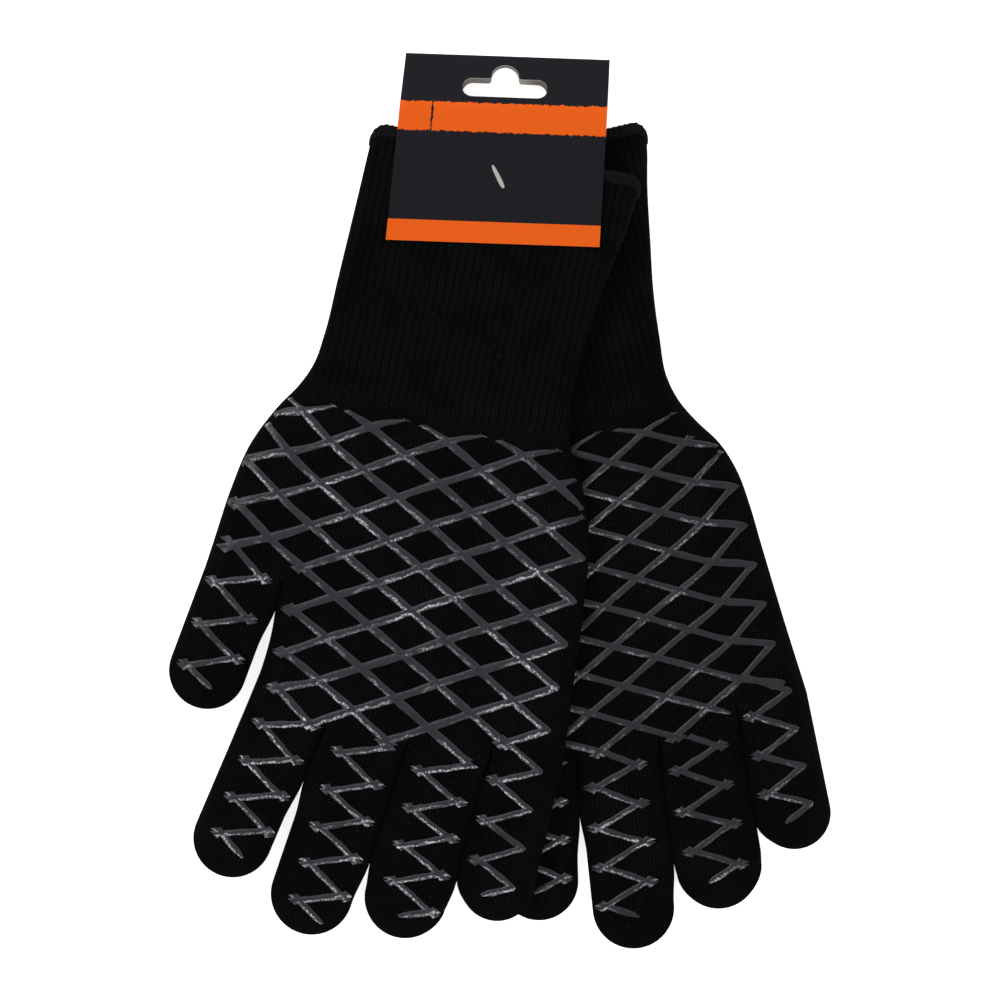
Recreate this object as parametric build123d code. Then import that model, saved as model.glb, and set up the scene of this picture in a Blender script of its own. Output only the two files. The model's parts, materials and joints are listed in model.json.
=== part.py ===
from build123d import *
import math
import os

os.makedirs("parts", exist_ok=True)

# A pair of long-cuffed knitted barbecue gloves, fanned out flat on a table and held together at the
# cuffs by a folded header card and one plastic tag pin.  Millimetres, +Z up, fingers towards -Y.

# ---- fabric and print ----
shell_wall = 1.4  # heat-resistant knitted shell
liner_gap = 0.1  # air between shell and liner
liner_wall = 0.7  # cotton liner
hand_thick = 10.2  # hand and fingers, lying flat
cuff_thick = 8.8  # cuff, lying flat
edge_round = 3.4  # rounding of the folded side edges
print_thick = 0.8  # silicone grip lines
glove_gap = 0.3  # air between the two gloves

# ---- glove outline: x is across, away from the thumb; y is 0 at the cuff mouth ----
cuff_length = 102.0
hem_length = 4.0
mouth_left, mouth_right = 52.0, 54.0  # cuff mouth, each side of the glove's axis
wrist_left, wrist_right = 57.5, 44.5
palm_right = 69.0  # outer edge of the palm at the little finger
finger_gap = 1.0  # air between neighbouring fingers at the knuckles
knuckle_gap = 0.4  # slit between a finger and the hand at the hinge line
web_rise = 0.6  # how far a finger crotch lies above the hinge lines

# Each finger: half width, straight length, lean towards the thumb side, and how far its
# hinge line lies below the wrist.
fingers = {
    "index": {"half": 15.2, "straight": 46.4, "lean": 11.5, "drop": 130.0},
    "middle": {"half": 15.8, "straight": 57.5, "lean": 7.2, "drop": 132.0},
    "ring": {"half": 15.5, "straight": 51.2, "lean": 4.6, "drop": 132.0},
    "little": {"half": 14.1, "straight": 47.0, "lean": 1.6, "drop": 124.0},
    "thumb": {"half": 14.9, "straight": 37.5, "lean": 8.9, "drop": 80.0},
}
row = ["index", "middle", "ring", "little"]
thumb_offset = 11.3  # thumb root, from the index finger's outer edge
# The knit gives, so the two gloves of the pair lie a little differently: how much longer each
# finger lies, and how far the little finger's side of the cuff mouth is stretched.
finger_stretch = {
    "front": {"index": 3.3, "middle": 4.6, "ring": 5.0, "little": 4.8, "thumb": 0.4},
    "back": {"index": -3.4, "middle": 1.5, "ring": 0.3, "little": -2.0, "thumb": 0.0},
}
cuff_stretch = {"front": 0.0, "back": 4.6}

# ---- grip print ----
line_width = 3.2
diamond_half_wide, diamond_half_high = 14.9, 8.3  # half diagonals of one diamond
diamond_start = 2.4  # a crossing on the glove's axis, above the wrist
print_below_wrist = 6.5  # upper edge of the print
print_side_margin = 5.0  # bare fabric beside the print
print_knuckle_margin = 1.6  # bare fabric beside a hinge line
zigzag_pitch = 15.2
zigzag_margin = 5.9  # finger's edge to the zigzag's corners
barb = 3.0  # how far a zigzag line runs past its corner
zigzag_start = 9.0  # first corner, from the hinge line

# ---- placing of the two gloves on the tag pin ----
front_turn, back_turn = -11.6, 13.2  # degrees about +Z
front_pin = (-1.0, -11.0)  # pin hole in the front glove, from the middle of its cuff mouth
back_pin = (-2.0, -6.0)

# ---- header card and tag pin ----
card_thick = 0.4
card_turn = -2.0
card_lean = 0.046  # the card is cut a little askew: sideways shift for each mm above the pin
card_top_width, card_bottom_width = 78.8, 82.2
card_above_pin, card_below_pin = 47.6, 25.0  # fold and free edge, from the pin
card_flat_above_pin = 26.5  # the panels lie flat up to here, then close to the fold
card_fold_height = 9.0
card_clear = 0.3  # card to cuff
card_fold_radius, card_bend_radius = 0.9, 4.0
slot_width, slot_height, slot_end = 32.6, 9.2, 2.4
slot_bump_width, slot_bump_height = 10.6, 5.4
slot_from_fold = 15.4  # middle of the slot's bar, along the panel
pin_radius, pin_hole_radius = 0.45, 0.9
pin_bar_length, pin_bar_width, pin_bar_thick = 10.0, 2.2, 0.7
pin_bar_turn = 29.0
pin_clear = 0.05

# ---- heights, from the table up ----
back_mid = print_thick + hand_thick / 2
front_mid = back_mid + hand_thick + 2 * print_thick + glove_gap
liner_inset = shell_wall + liner_gap
cavity_inset = liner_inset + liner_wall
card_low = back_mid - cuff_thick / 2 - card_clear - card_thick / 2
card_high = front_mid + cuff_thick / 2 + card_clear + card_thick / 2
cut_over = 2.0  # how far a cutter runs past the face that it opens


# ---- the fingers' places follow from their widths ----
def finger_places():
    places, edge = {}, palm_right
    for name in reversed(row):
        half = fingers[name]["half"]
        places[name] = (edge - half, -cuff_length - fingers[name]["drop"])
        edge -= 2 * half + finger_gap
    places["thumb"] = (edge + finger_gap - thumb_offset, -cuff_length - fingers["thumb"]["drop"])
    return places


places = finger_places()


def finger_location(name):
    # the finger's own frame: origin on the hinge line, y along the finger towards its root
    x, y = places[name]
    return Location((x, y, 0), (0, 0, -fingers[name]["lean"]))


def finger_point(name, across, along):
    # a point of the finger's own frame, in the glove's plan
    lean = math.radians(fingers[name]["lean"])
    x, y = places[name]
    return (
        x + across * math.cos(lean) + along * math.sin(lean),
        y - across * math.sin(lean) + along * math.cos(lean),
    )


# ---- side curves of the glove ----
# the cuff's, as (x, distance below the cuff mouth)
cuff_left_side = [(-mouth_left, 0), (-mouth_left - 0.7, 30), (-mouth_left - 1.6, 62)]
cuff_right_side = [(mouth_right, 0), (mouth_right - 2.8, 24), (mouth_right - 8.6, 56)]
cuff_stretch_shares = [1.0, 0.55, 0.65]  # of the mouth's stretch, at each of these points
# the hand's, as (share of the way out from the wrist to the outermost finger's corner, share of
# the way down to it)
hand_left_side = [(0.379, 0.154), (0.687, 0.359), (0.843, 0.59), (0.944, 0.846)]
hand_right_side = [(0.392, 0.129), (0.653, 0.274), (0.816, 0.515), (0.923, 0.789)]
# the palm's edge between thumb and index finger, as (x from the index finger's outer edge, share
# of the way down to its hinge line)
palm_left_side = [(4.8, 0.754), (3.0, 0.869)]


def hand_side(left):
    # the hand's side curve from the wrist to just before the outermost finger's corner
    wrist = -wrist_left if left else wrist_right
    name = "thumb" if left else row[-1]
    corner = finger_point(name, (-1 if left else 1) * fingers[name]["half"], 0)
    points = [(wrist, -cuff_length)]
    for out, down in hand_left_side if left else hand_right_side:
        points.append((wrist + out * (corner[0] - wrist), -cuff_length + down * (corner[1] + cuff_length)))
    return points


def palm_side():
    # the palm's edge on the thumb side, down to just before the index finger's corner
    edge = places[row[0]][0] - fingers[row[0]]["half"]
    drop = fingers[row[0]]["drop"]
    return [(edge + x, -cuff_length - down * drop) for x, down in palm_left_side]


def moved_in(points, inset, left):
    # every point of a side curve moved inwards, square to the curve
    moved = []
    for i, (x, y) in enumerate(points):
        x0, y0 = points[max(i - 1, 0)]
        x1, y1 = points[min(i + 1, len(points) - 1)]
        run = math.hypot(x1 - x0, y1 - y0)
        side = 1 if left else -1
        moved.append((x - side * inset * (y1 - y0) / run, y + side * inset * (x1 - x0) / run))
    return moved


def chain(points):
    # straight lines through the points, leaving out any that repeats the one before it
    kept = [points[0]]
    for point in points[1:]:
        if math.dist(point, kept[-1]) > 1e-3:
            kept.append(point)
    return [Polyline(*kept)] if len(kept) > 1 else []


def cuff_plan(inset=0.0, top=0.0, bottom=cuff_length, over=0.0):
    # the cuff's plan between two distances below the mouth; over runs it past both of its ends
    left = [(x, -d) for x, d in cuff_left_side]
    left += [(-wrist_left + 3.0, -cuff_length * 0.87), (-wrist_left, -cuff_length)]
    right = [(x, -d) for x, d in cuff_right_side]
    right += [(wrist_right - 0.3, -cuff_length * 0.85), (wrist_right, -cuff_length)]
    left, right = moved_in(left, inset, True), moved_in(right, inset, False)
    outline = [Spline(*left), Spline(*right)]
    for i, y in ((0, over), (-1, -cuff_length - over)):
        outline += chain([left[i], (left[i][0], y), (right[i][0], y), right[i]])
    low, high = -bottom - over, -top + over
    band = Pos(0, (low + high) / 2) * Rectangle(4 * wrist_left, high - low)
    return make_face(Curve() + outline) & band


def hand_plan(inset=0.0, over=0.0):
    # the hand's plan: thumb side, hinge line of each finger, little finger side, wrist line;
    # over runs it past the hinge lines and the wrist
    def mouth(name, past=0.0):
        half = fingers[name]["half"] - inset
        return [finger_point(name, side * half, knuckle_gap / 2 - past) for side in (-1, 1)]

    def round_mouth(name):
        start, end = mouth(name)
        return [start] + mouth(name, over) + [end]

    left = moved_in(hand_side(True), inset, True) + mouth("thumb")[:1]
    right = moved_in(hand_side(False), inset, False) + mouth(row[-1])[1:]

    # the crotch between thumb and palm, then the palm's edge down to the first finger
    corner_x, corner_y = finger_point("thumb", fingers["thumb"]["half"], 0)
    web = corner_y + web_rise + inset
    palm = [(corner_x, corner_y)] + palm_side()
    palm = [(corner_x + finger_gap + inset, web)] + moved_in(palm, inset, True)[1:] + mouth(row[0])[:1]
    thumb_way = round_mouth("thumb")
    outline = [Spline(*left), Spline(*palm), Spline(*right)]
    outline += chain(thumb_way + [(thumb_way[-1][0], web), palm[0]])

    # the hinge lines of the four fingers, with a crotch between each pair
    way = round_mouth(row[0])
    for name in row[1:]:
        start = mouth(name)[0]
        web = start[1] + web_rise + inset
        way += [(way[-1][0], web), (start[0], web)] + round_mouth(name)
    outline += chain(way)
    top = -cuff_length + over
    outline += chain([right[0], (right[0][0], top), (left[0][0], top), left[0]])
    return make_face(Curve() + outline)


def finger_plan(name, inset=0.0, over=0.0):
    # in the finger's own frame: straight sides from the hinge line to a half-round tip
    half, straight = fingers[name]["half"] - inset, fingers[name]["straight"]
    root = over - knuckle_gap / 2
    outline = [
        Line((half, root), (half, -straight)),
        ThreePointArc((half, -straight), (0, -straight - half), (-half, -straight)),
        Line((-half, -straight), (-half, root)),
        Line((-half, root), (half, root)),
    ]
    return make_face(Curve() + outline)


def slab(plan, thick):
    return extrude(plan, amount=thick / 2, both=True)


def soft_slab(plan, thick, is_cut_edge):
    # a slab whose outer edges are rounded, except the edges of its cut ends
    solid = slab(plan, thick)
    edges = [
        e for e in solid.edges() if abs(abs(e.center().Z) - thick / 2) < 1e-3 and not is_cut_edge(e)
    ]
    return fillet(edges, edge_round)


def straight_edge(edge):
    return edge.geom_type == GeomType.LINE


def finger_root_edge(edge):
    return straight_edge(edge) and abs(edge.center().X) < 1e-3


# ---- shells and liners, each about the glove's middle plane ----
def cuff_shell():
    outer = soft_slab(cuff_plan(top=hem_length), cuff_thick, straight_edge)
    return outer - slab(cuff_plan(shell_wall, over=cut_over), cuff_thick - 2 * shell_wall)


def cuff_hem():
    outer = soft_slab(cuff_plan(bottom=hem_length), cuff_thick, straight_edge)
    return outer - slab(cuff_plan(cavity_inset, over=cut_over), cuff_thick - 2 * cavity_inset)


def cuff_liner():
    outer = slab(cuff_plan(liner_inset, top=hem_length), cuff_thick - 2 * liner_inset)
    return outer - slab(cuff_plan(cavity_inset, over=cut_over), cuff_thick - 2 * cavity_inset)


def hand_shell():
    outer = soft_slab(hand_plan(), hand_thick, straight_edge)
    return outer - slab(hand_plan(shell_wall, cut_over), hand_thick - 2 * shell_wall)


def hand_liner():
    outer = slab(hand_plan(liner_inset), hand_thick - 2 * liner_inset)
    return outer - slab(hand_plan(cavity_inset, cut_over), hand_thick - 2 * cavity_inset)


def finger_shell(name):
    outer = soft_slab(finger_plan(name), hand_thick, finger_root_edge)
    inner = slab(finger_plan(name, shell_wall, cut_over), hand_thick - 2 * shell_wall)
    return finger_location(name) * (outer - inner)


def finger_liner(name):
    outer = slab(finger_plan(name, liner_inset), hand_thick - 2 * liner_inset)
    inner = slab(finger_plan(name, cavity_inset, cut_over), hand_thick - 2 * cavity_inset)
    return finger_location(name) * (outer - inner)


# ---- grip prints, drawn in plan and then laid on the upper or the under side ----
def bar(start, end, past_start=0.0, past_end=0.0):
    # a straight print line between two points, run on past each of them
    dx, dy = end[0] - start[0], end[1] - start[1]
    run = math.hypot(dx, dy)
    ux, uy = dx / run, dy / run
    length = run + past_start + past_end
    middle = ((past_end - past_start) + run) / 2
    turn = math.degrees(math.atan2(dy, dx))
    centre = Location((start[0] + ux * middle, start[1] + uy * middle, 0), (0, 0, turn))
    return centre * Rectangle(length, line_width)


def hand_print_region():
    # where the diamonds may lie: inside the flat of the hand, clear of the hinge lines
    margin = print_side_margin
    left = moved_in(hand_side(True), margin, True)[1:]
    right = moved_in(hand_side(False), margin, False)[1:]
    top = -cuff_length - print_below_wrist
    corners = [(left[0][0], top)] + left
    for name in ["thumb"] + row:
        half = fingers[name]["half"] - margin
        start, end = [finger_point(name, side * half, print_knuckle_margin) for side in (-1, 1)]
        if name in row[1:]:
            # over the crotch, above both hinge lines
            corners.append(((corners[-1][0] + start[0]) / 2, max(corners[-1][1], start[1])))
        corners += [start, end]
        if name == "thumb":
            x, y = palm_side()[0]
            corners += [(x + margin, corners[-1][1]), (x + margin, y)]
    corners += list(reversed(right)) + [(right[0][0], top)]
    return make_face(Polyline(*corners, close=True))


def hand_print():
    # diamonds: two families of parallel lines that cross on the glove's axis
    slope = diamond_half_high / diamond_half_wide
    region = hand_print_region()
    box = region.bounding_box()
    rise = slope * max(abs(box.min.X), abs(box.max.X))
    bars = []
    start = -cuff_length + diamond_start
    first = math.floor((box.min.Y - rise - start) / (2 * diamond_half_high))
    last = math.ceil((box.max.Y + rise - start) / (2 * diamond_half_high))
    for step in range(first, last + 1):
        y = start + 2 * diamond_half_high * step
        for way in (-1, 1):
            ends = [(x, y + way * slope * x) for x in (box.min.X - line_width, box.max.X + line_width)]
            bars.append(bar(*ends))
    lattice = (Sketch() + bars) & region
    # one connected print: a crumb cut off at a corner of the region is no part of it
    return Sketch() + max(lattice.faces(), key=lambda face: face.area)


def finger_print(name):
    # one line zigzags down the finger, and each stroke runs a little past its corners
    half = fingers[name]["half"] - zigzag_margin
    reach = fingers[name]["straight"] + 0.3 * half
    strokes, depth, side = [], zigzag_start, 1
    while depth + zigzag_pitch / 2 < reach:
        start, end = (side * half, -depth), (-side * half, -depth - zigzag_pitch / 2)
        strokes.append(bar(start, end, barb, barb))
        depth += zigzag_pitch / 2
        side = -side
    return finger_location(name) * (Sketch() + strokes)


def on_side(plan, up):
    # a print laid on the fabric: up is 1 for the upper side, -1 for the under side
    height = hand_thick / 2 if up > 0 else -hand_thick / 2 - print_thick
    return Pos(0, 0, height) * extrude(plan, amount=print_thick)


# ---- header card ----
def card_profile():
    # the card's section: free edge, flat, slope to the fold, slope back, flat
    top, flat, bottom = card_above_pin - card_thick, card_flat_above_pin, -card_below_pin
    points = [
        (bottom, card_high),
        (flat, card_high),
        (top, card_fold_height),
        (flat, card_low),
        (bottom, card_low),
    ]
    radii = (card_bend_radius, card_fold_radius, card_bend_radius)
    path = FilletPolyline(*points, radius=radii)
    return Plane.YZ * trace(path, card_thick)


def slot_plan():
    bump_radius = slot_bump_width / 2
    bump_middle = slot_height / 2 + slot_bump_height - bump_radius
    plan = RectangleRounded(slot_width, slot_height, slot_end)
    plan += Pos(0, bump_middle / 2) * Rectangle(slot_bump_width, bump_middle)
    return plan + Pos(0, bump_middle) * Circle(bump_radius)


def header_card():
    solid = extrude(card_profile(), amount=card_bottom_width, both=True)
    corners = [
        (side * width / 2 + card_lean * y, y)
        for side, width, y in (
            (-1, card_bottom_width, -card_below_pin),
            (1, card_bottom_width, -card_below_pin),
            (1, card_top_width, card_above_pin),
            (-1, card_top_width, card_above_pin),
        )
    ]
    solid &= extrude(make_face(Polyline(*corners, close=True)), amount=2 * card_high)
    run = card_above_pin - card_flat_above_pin
    slot_x = card_lean * (card_above_pin - slot_from_fold)
    for height in (card_high, card_low):
        slope = math.degrees(math.atan2(card_fold_height - height, run))
        fold = Location((0, card_above_pin, card_fold_height), (slope, 0, 0))
        hole = fold * (Pos(slot_x, -slot_from_fold, 0) * extrude(slot_plan(), amount=2, both=True))
        solid -= hole
    solid -= Cylinder(pin_hole_radius, 3 * card_high)
    return Rot(0, 0, card_turn) * solid


def tag_pin():
    low = card_low - card_thick / 2 - pin_clear
    high = card_high + card_thick / 2 + pin_clear
    bar_plan = RectangleRounded(pin_bar_width, pin_bar_length, pin_bar_width / 2 - 0.05)
    lower = Pos(0, 0, low - pin_bar_thick) * extrude(bar_plan, amount=pin_bar_thick)
    upper = Pos(0, 0, high) * extrude(Rot(0, 0, pin_bar_turn) * bar_plan, amount=pin_bar_thick)
    filament = Pos(0, 0, low - 0.1) * extrude(Circle(pin_radius), amount=high - low + 0.2)
    return lower + filament + upper


# ---- one glove, in its own frame ----
def glove_pieces(pin):
    hole = Pos(pin[0], pin[1], 0) * Cylinder(pin_hole_radius, 2 * cuff_thick)
    pieces = {
        "cuff": cuff_shell() - hole,
        "cuff_hem": cuff_hem() - hole,
        "cuff_liner": cuff_liner() - hole,
        "hand": hand_shell(),
        "hand_liner": hand_liner(),
    }
    plan = hand_print()
    pieces["hand_grip"], pieces["hand_under_grip"] = on_side(plan, 1), on_side(plan, -1)
    for name in fingers:
        pieces[name] = finger_shell(name)
        pieces[name + "_liner"] = finger_liner(name)
        plan = finger_print(name)
        pieces[name + "_grip"], pieces[name + "_under_grip"] = on_side(plan, 1), on_side(plan, -1)
    return pieces


gloves = {
    "front": {"turn": front_turn, "pin": front_pin, "mid": front_mid},
    "back": {"turn": back_turn, "pin": back_pin, "mid": back_mid},
}


def glove_location(which):
    glove = gloves[which]
    pin_x, pin_y = glove["pin"]
    return Location((0, 0, glove["mid"]), (0, 0, glove["turn"])) * Pos(-pin_x, -pin_y, 0)


unstretched = {name: fingers[name]["straight"] for name in fingers}
unstretched_side = list(cuff_right_side)


def stretch_as(which):
    for name, more in finger_stretch[which].items():
        fingers[name]["straight"] = unstretched[name] + more
    for i, (x, depth) in enumerate(unstretched_side):
        cuff_right_side[i] = (x + cuff_stretch_shares[i] * cuff_stretch[which], depth)


nodes = {"header_card": header_card(), "tag_pin": tag_pin()}
for which, glove in gloves.items():
    stretch_as(which)
    for name, piece in glove_pieces(glove["pin"]).items():
        nodes[which + "_" + name] = glove_location(which) * piece

# The origin is the middle of the whole model's box, at the table.
box = Compound(children=[Compound(list(n.solids())) for n in nodes.values()]).bounding_box()
centre = ((box.min.X + box.max.X) / 2, (box.min.Y + box.max.Y) / 2)
for name, piece in nodes.items():
    nodes[name] = Pos(-centre[0], -centre[1], 0) * piece
    export_step(nodes[name], "parts/" + name + ".step")
print(len(nodes), "nodes, size", box.size, "pin at", (-centre[0], -centre[1]))
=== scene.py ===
import functools
import json
import math
import bpy
import numpy as np
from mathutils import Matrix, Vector


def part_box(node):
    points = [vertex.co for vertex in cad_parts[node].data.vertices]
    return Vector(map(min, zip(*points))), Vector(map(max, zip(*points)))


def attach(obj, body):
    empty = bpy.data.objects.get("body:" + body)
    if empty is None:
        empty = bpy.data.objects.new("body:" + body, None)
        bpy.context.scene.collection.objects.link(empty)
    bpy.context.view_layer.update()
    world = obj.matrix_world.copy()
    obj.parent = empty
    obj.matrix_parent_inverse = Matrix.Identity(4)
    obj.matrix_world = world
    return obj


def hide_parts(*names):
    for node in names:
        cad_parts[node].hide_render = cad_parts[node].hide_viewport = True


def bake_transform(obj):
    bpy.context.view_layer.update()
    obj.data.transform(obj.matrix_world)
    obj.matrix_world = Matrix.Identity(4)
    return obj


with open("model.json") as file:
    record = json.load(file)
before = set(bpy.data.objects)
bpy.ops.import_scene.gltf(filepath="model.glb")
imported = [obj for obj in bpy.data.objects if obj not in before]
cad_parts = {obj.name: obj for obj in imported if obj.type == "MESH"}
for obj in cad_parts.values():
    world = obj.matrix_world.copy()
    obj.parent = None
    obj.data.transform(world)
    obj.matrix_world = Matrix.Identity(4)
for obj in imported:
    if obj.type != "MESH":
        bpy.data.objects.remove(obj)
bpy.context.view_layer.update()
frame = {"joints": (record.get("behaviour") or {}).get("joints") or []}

mm = 0.001
joints = {j["name"]: j for j in frame["joints"]}

# Plan measures are millimetres in the glove's own frame: x runs across, away from the thumb, and
# depth runs from the cuff mouth towards the fingertips.
glove = {
    "cuffHalf": 4.4, "mouthHalf": 3.9, "handHalf": 5.1,     # half of the thickness, lying flat
    "wristFrom": 94.0, "wristTo": 116.0,                    # where the ribbed cuff swells into the hand
    "shell": 1.4, "linerOut": 1.5, "linerIn": 2.2,          # insets of the shell's inner face and the liner's two
    "cuffRound": 7.0, "sideRound": 9.0, "fingerRound": 11.0,    # how far in from an edge the flat middle starts
    "leastRound": 0.05, "roundIn": 0.6,                     # smallest such radius, and what an inset takes off it
    "leastHalf": 0.01,      # inside the edges both faces keep this far from the middle plane, and never join
    "mouthCorner": 4.5, "mouthRow": 1.6, "mouthSwell": (2, 14), "cornerEnd": (0, 40),
    "riseX": (-30, 38), "riseDepth": (0, 70),               # where a stretched mouth's bow sets in and ends
    # soft hollows: depth, and each wave's length across and along, its part of the shift, and its weight
    "dentDepth": 0.14, "dentUnder": 1.3, "dentFrom": (2, 40),
    "dentWaves": [(17, 31, 1.0, 1.0), (-41, 23, 2.2, 1.0), (9.5, -14, 3.1, 0.6)],
    "left": [(0, -51.6), (30, -52.5), (62, -53.6), (84, -54.4), (96, -56.2), (104, -59.6), (114, -66.0),
             (130, -73.6), (148, -77.5), (168, -79.9), (180, -81.2)],
    "palmLeft": [(171, -50.6), (180, -51.3), (188, -51.6), (200, -51.2), (215, -52.3), (229, -54.9)],
    "thumbColumn": [(0, -24.0), (70, -27.0), (110, -36.0), (145, -46.5), (171, -50.6)],
    "fingerSplit": [(-60, 216.0), (-52.5, 217.0), (-22.3, 221.0), (9.7, 221.5), (41.0, 216.0),
                    (68, 213.0), (75, 212.5)],
    "thumbSplit": 171.0, "splitEnds": (217.0, 213.0),       # the finger split line's depth at the two outlines
    "crotchRound": (6, 24), "rootRound": (-5, 16), "sideRoundTo": 20,    # where edges grow round past a split
    "thumbColumns": 16, "palmColumns": 60, "upperRows": 90, "palmRows": 26, "palmCrowd": 0.8,
    "fingerColumns": 44, "linerColumns": 28, "rootRows": 12, "straightRows": 44, "tipRows": 18,
    "wider": 0.53, "widerEnd": 16,  # how much wider a finger is where it lies against the next, and how that ends
    "tipFade": 0.9,                 # radians of the round tip over which that width is gone
    "bendReach": 9.0,               # a finger bends over this far to each side of its hinge line
}

# Each finger: root centre on the hinge line, half width, straight length, lean towards the thumb side in degrees,
# where it parts from its neighbours on the split line, how far down it touches each of them, and by how much of
# that length it grows wider on the way
fingers = {
    "thumb": {"root": (-66.5, 182.0), "half": 14.9, "straight": 37.5, "lean": 8.9,
              "parting": (None, -50.6), "touch": (0, 7), "spread": (0, 0.13)},
    "index": {"root": (-40.0, 232.0), "half": 15.2, "straight": 46.4, "lean": 11.5,
              "parting": (None, -22.3), "touch": (0, 20), "spread": (0, 0.0375)},
    "middle": {"root": (-8.0, 234.0), "half": 15.8, "straight": 57.5, "lean": 7.2,
               "parting": (-22.3, 9.7), "touch": (20, 44), "spread": (0.0375, 0.0227)},
    "ring": {"root": (24.3, 234.0), "half": 15.5, "straight": 51.2, "lean": 4.6,
             "parting": (9.7, 41.0), "touch": (44, 46), "spread": (0.0227, 0.0262)},
    "little": {"root": (54.9, 226.0), "half": 14.1, "straight": 47.0, "lean": 1.6,
               "parting": (41.0, None), "touch": (50, 0), "spread": (0.0262, 0)},
}

# Each glove: its turn on the tag pin, the pin's place in its cuff as (x, depth), a shift for the soft dents, how
# far the stretched cuff mouth bows up beside the pin, the fingers that lie on their own bodies, how much longer
# each finger lies, and the outline on the little finger's side.
gloves = {
    "back": {
        "turn": 13.2, "pin": (-2.0, 6.0), "dent": 2.1, "mouthRise": 3.0, "free": ("middle", "ring", "little"),
        "longer": {"index": -3.4, "middle": 1.5, "ring": 0.3, "little": -2.0, "thumb": 0.0},
        "right": [(0, 58.3), (10, 57.0), (24, 53.7), (44, 49.9), (62, 46.7), (80, 44.9), (96, 44.2), (106, 46.8),
                  (115, 51.6), (124, 57.6), (137, 62.3), (150, 64.0), (166, 64.9), (200, 67.0), (226.5, 69.0)]},
    "front": {
        "turn": -11.6, "pin": (-1.0, 11.0), "dent": 0.0, "mouthRise": 0.0, "free": tuple(fingers),
        "longer": {"index": 3.3, "middle": 4.6, "ring": 5.0, "little": 4.8, "thumb": 0.4},
        "right": [(0, 54.0), (24, 51.2), (44, 47.6), (62, 45.1), (80, 44.3), (96, 44.5), (106, 46.8),
                  (118, 53.4), (136, 60.3), (166, 64.6), (200, 67.0), (226.5, 69.0)]},
}
for which, spec in gloves.items():
    low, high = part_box(which + "_hand")
    spec["mid"] = (low.z + high.z) / 2 / mm
pinPlace = [c / mm for c in joints["fan"]["pos_m"]]


def smoothStep(low, high, value):
    # 0 before low, 1 after high, an even S between
    share = np.clip((value - low) / (high - low), 0, 1)
    return share * share * (3 - 2 * share)


def smoothThrough(points, at):
    # cubic curve through (place, value) points; its slope at each is the mean slope beside it
    place, value = np.array(points, float).T
    slope = np.gradient(value, place)
    i = np.clip(np.searchsorted(place, at) - 1, 0, len(place) - 2)
    gap = place[i + 1] - place[i]
    t = np.clip((at - place[i]) / gap, 0, 1)
    return ((2 * t**3 - 3 * t**2 + 1) * value[i] + (t**3 - 2 * t**2 + t) * gap * slope[i]
            + (3 * t**2 - 2 * t**3) * value[i + 1] + (t**3 - t**2) * gap * slope[i + 1])


def pillow(fromEdge, radius):
    # 0 on the edge, 1 at the radius inside it, along a quarter ellipse
    share = np.clip(fromEdge / radius, 0, 1)
    return np.sqrt(1 - (1 - share) ** 2)


def unit(arrows):
    # each row at length 1
    return arrows / np.linalg.norm(arrows, axis=1)[:, None]


def around(count):
    # angles evenly round a circle
    return 2 * np.pi * np.arange(count) / count


def crowded(count):
    # count + 1 places from 0 to 1, closer together towards both ends like a circle seen from the side
    return (1 - np.cos(np.pi * np.arange(count + 1) / count)) / 2


def aboutPin(x, y, z, degrees):
    # places measured from the tag pin, turned about it, in the shared frame
    turn = math.radians(degrees)
    return np.stack([pinPlace[0] + x * math.cos(turn) - y * math.sin(turn),
                     pinPlace[1] + x * math.sin(turn) + y * math.cos(turn), z + 0 * x], axis=-1)


def toWorld(which, x, depth, z):
    # glove frame to the shared frame; z counts from the glove's middle plane
    spec = gloves[which]
    rise = spec["mouthRise"] * smoothStep(*glove["riseX"], x) * (1 - smoothStep(*glove["riseDepth"], depth))
    return aboutPin(x - spec["pin"][0], spec["pin"][1] - depth + rise, spec["mid"] + z, spec["turn"])


def addObject(name, data, place=(0, 0, 0)):
    made = bpy.data.objects.new(name, data)
    made.location = place
    bpy.context.scene.collection.objects.link(made)
    return made


def makeMesh(name, points, faces, uv=None, parts=None, sharp=50):
    # points in millimetres; faces as quads in which a repeated corner makes a triangle
    faces = np.asarray(faces)
    keep = faces != np.roll(faces, -1, axis=1)
    count = keep.sum(axis=1)
    quads, thirds = count == 4, count == 3
    triangles = faces[thirds][keep[thirds]].reshape(-1, 3)
    mesh = bpy.data.meshes.new(name)
    mesh.from_pydata((points.reshape(-1, 3) * mm).tolist(), [], faces[quads].tolist() + triangles.tolist())
    if parts is not None:
        parts = np.asarray(parts)
        mesh.polygons.foreach_set("material_index", np.concatenate([parts[quads], parts[thirds]]).astype(np.int32))
    mesh.polygons.foreach_set("use_smooth", np.ones(len(mesh.polygons), bool))
    if uv is not None:
        corner = np.zeros(len(mesh.loops), np.int32)
        mesh.loops.foreach_get("vertex_index", corner)
        layer = mesh.uv_layers.new(name="weave")
        layer.data.foreach_set("uv", np.asarray(uv, np.float32)[corner].ravel())
    mesh.validate()
    mesh.update()
    mesh.set_sharp_from_angle(angle=math.radians(sharp))
    return addObject(name, mesh)


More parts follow.
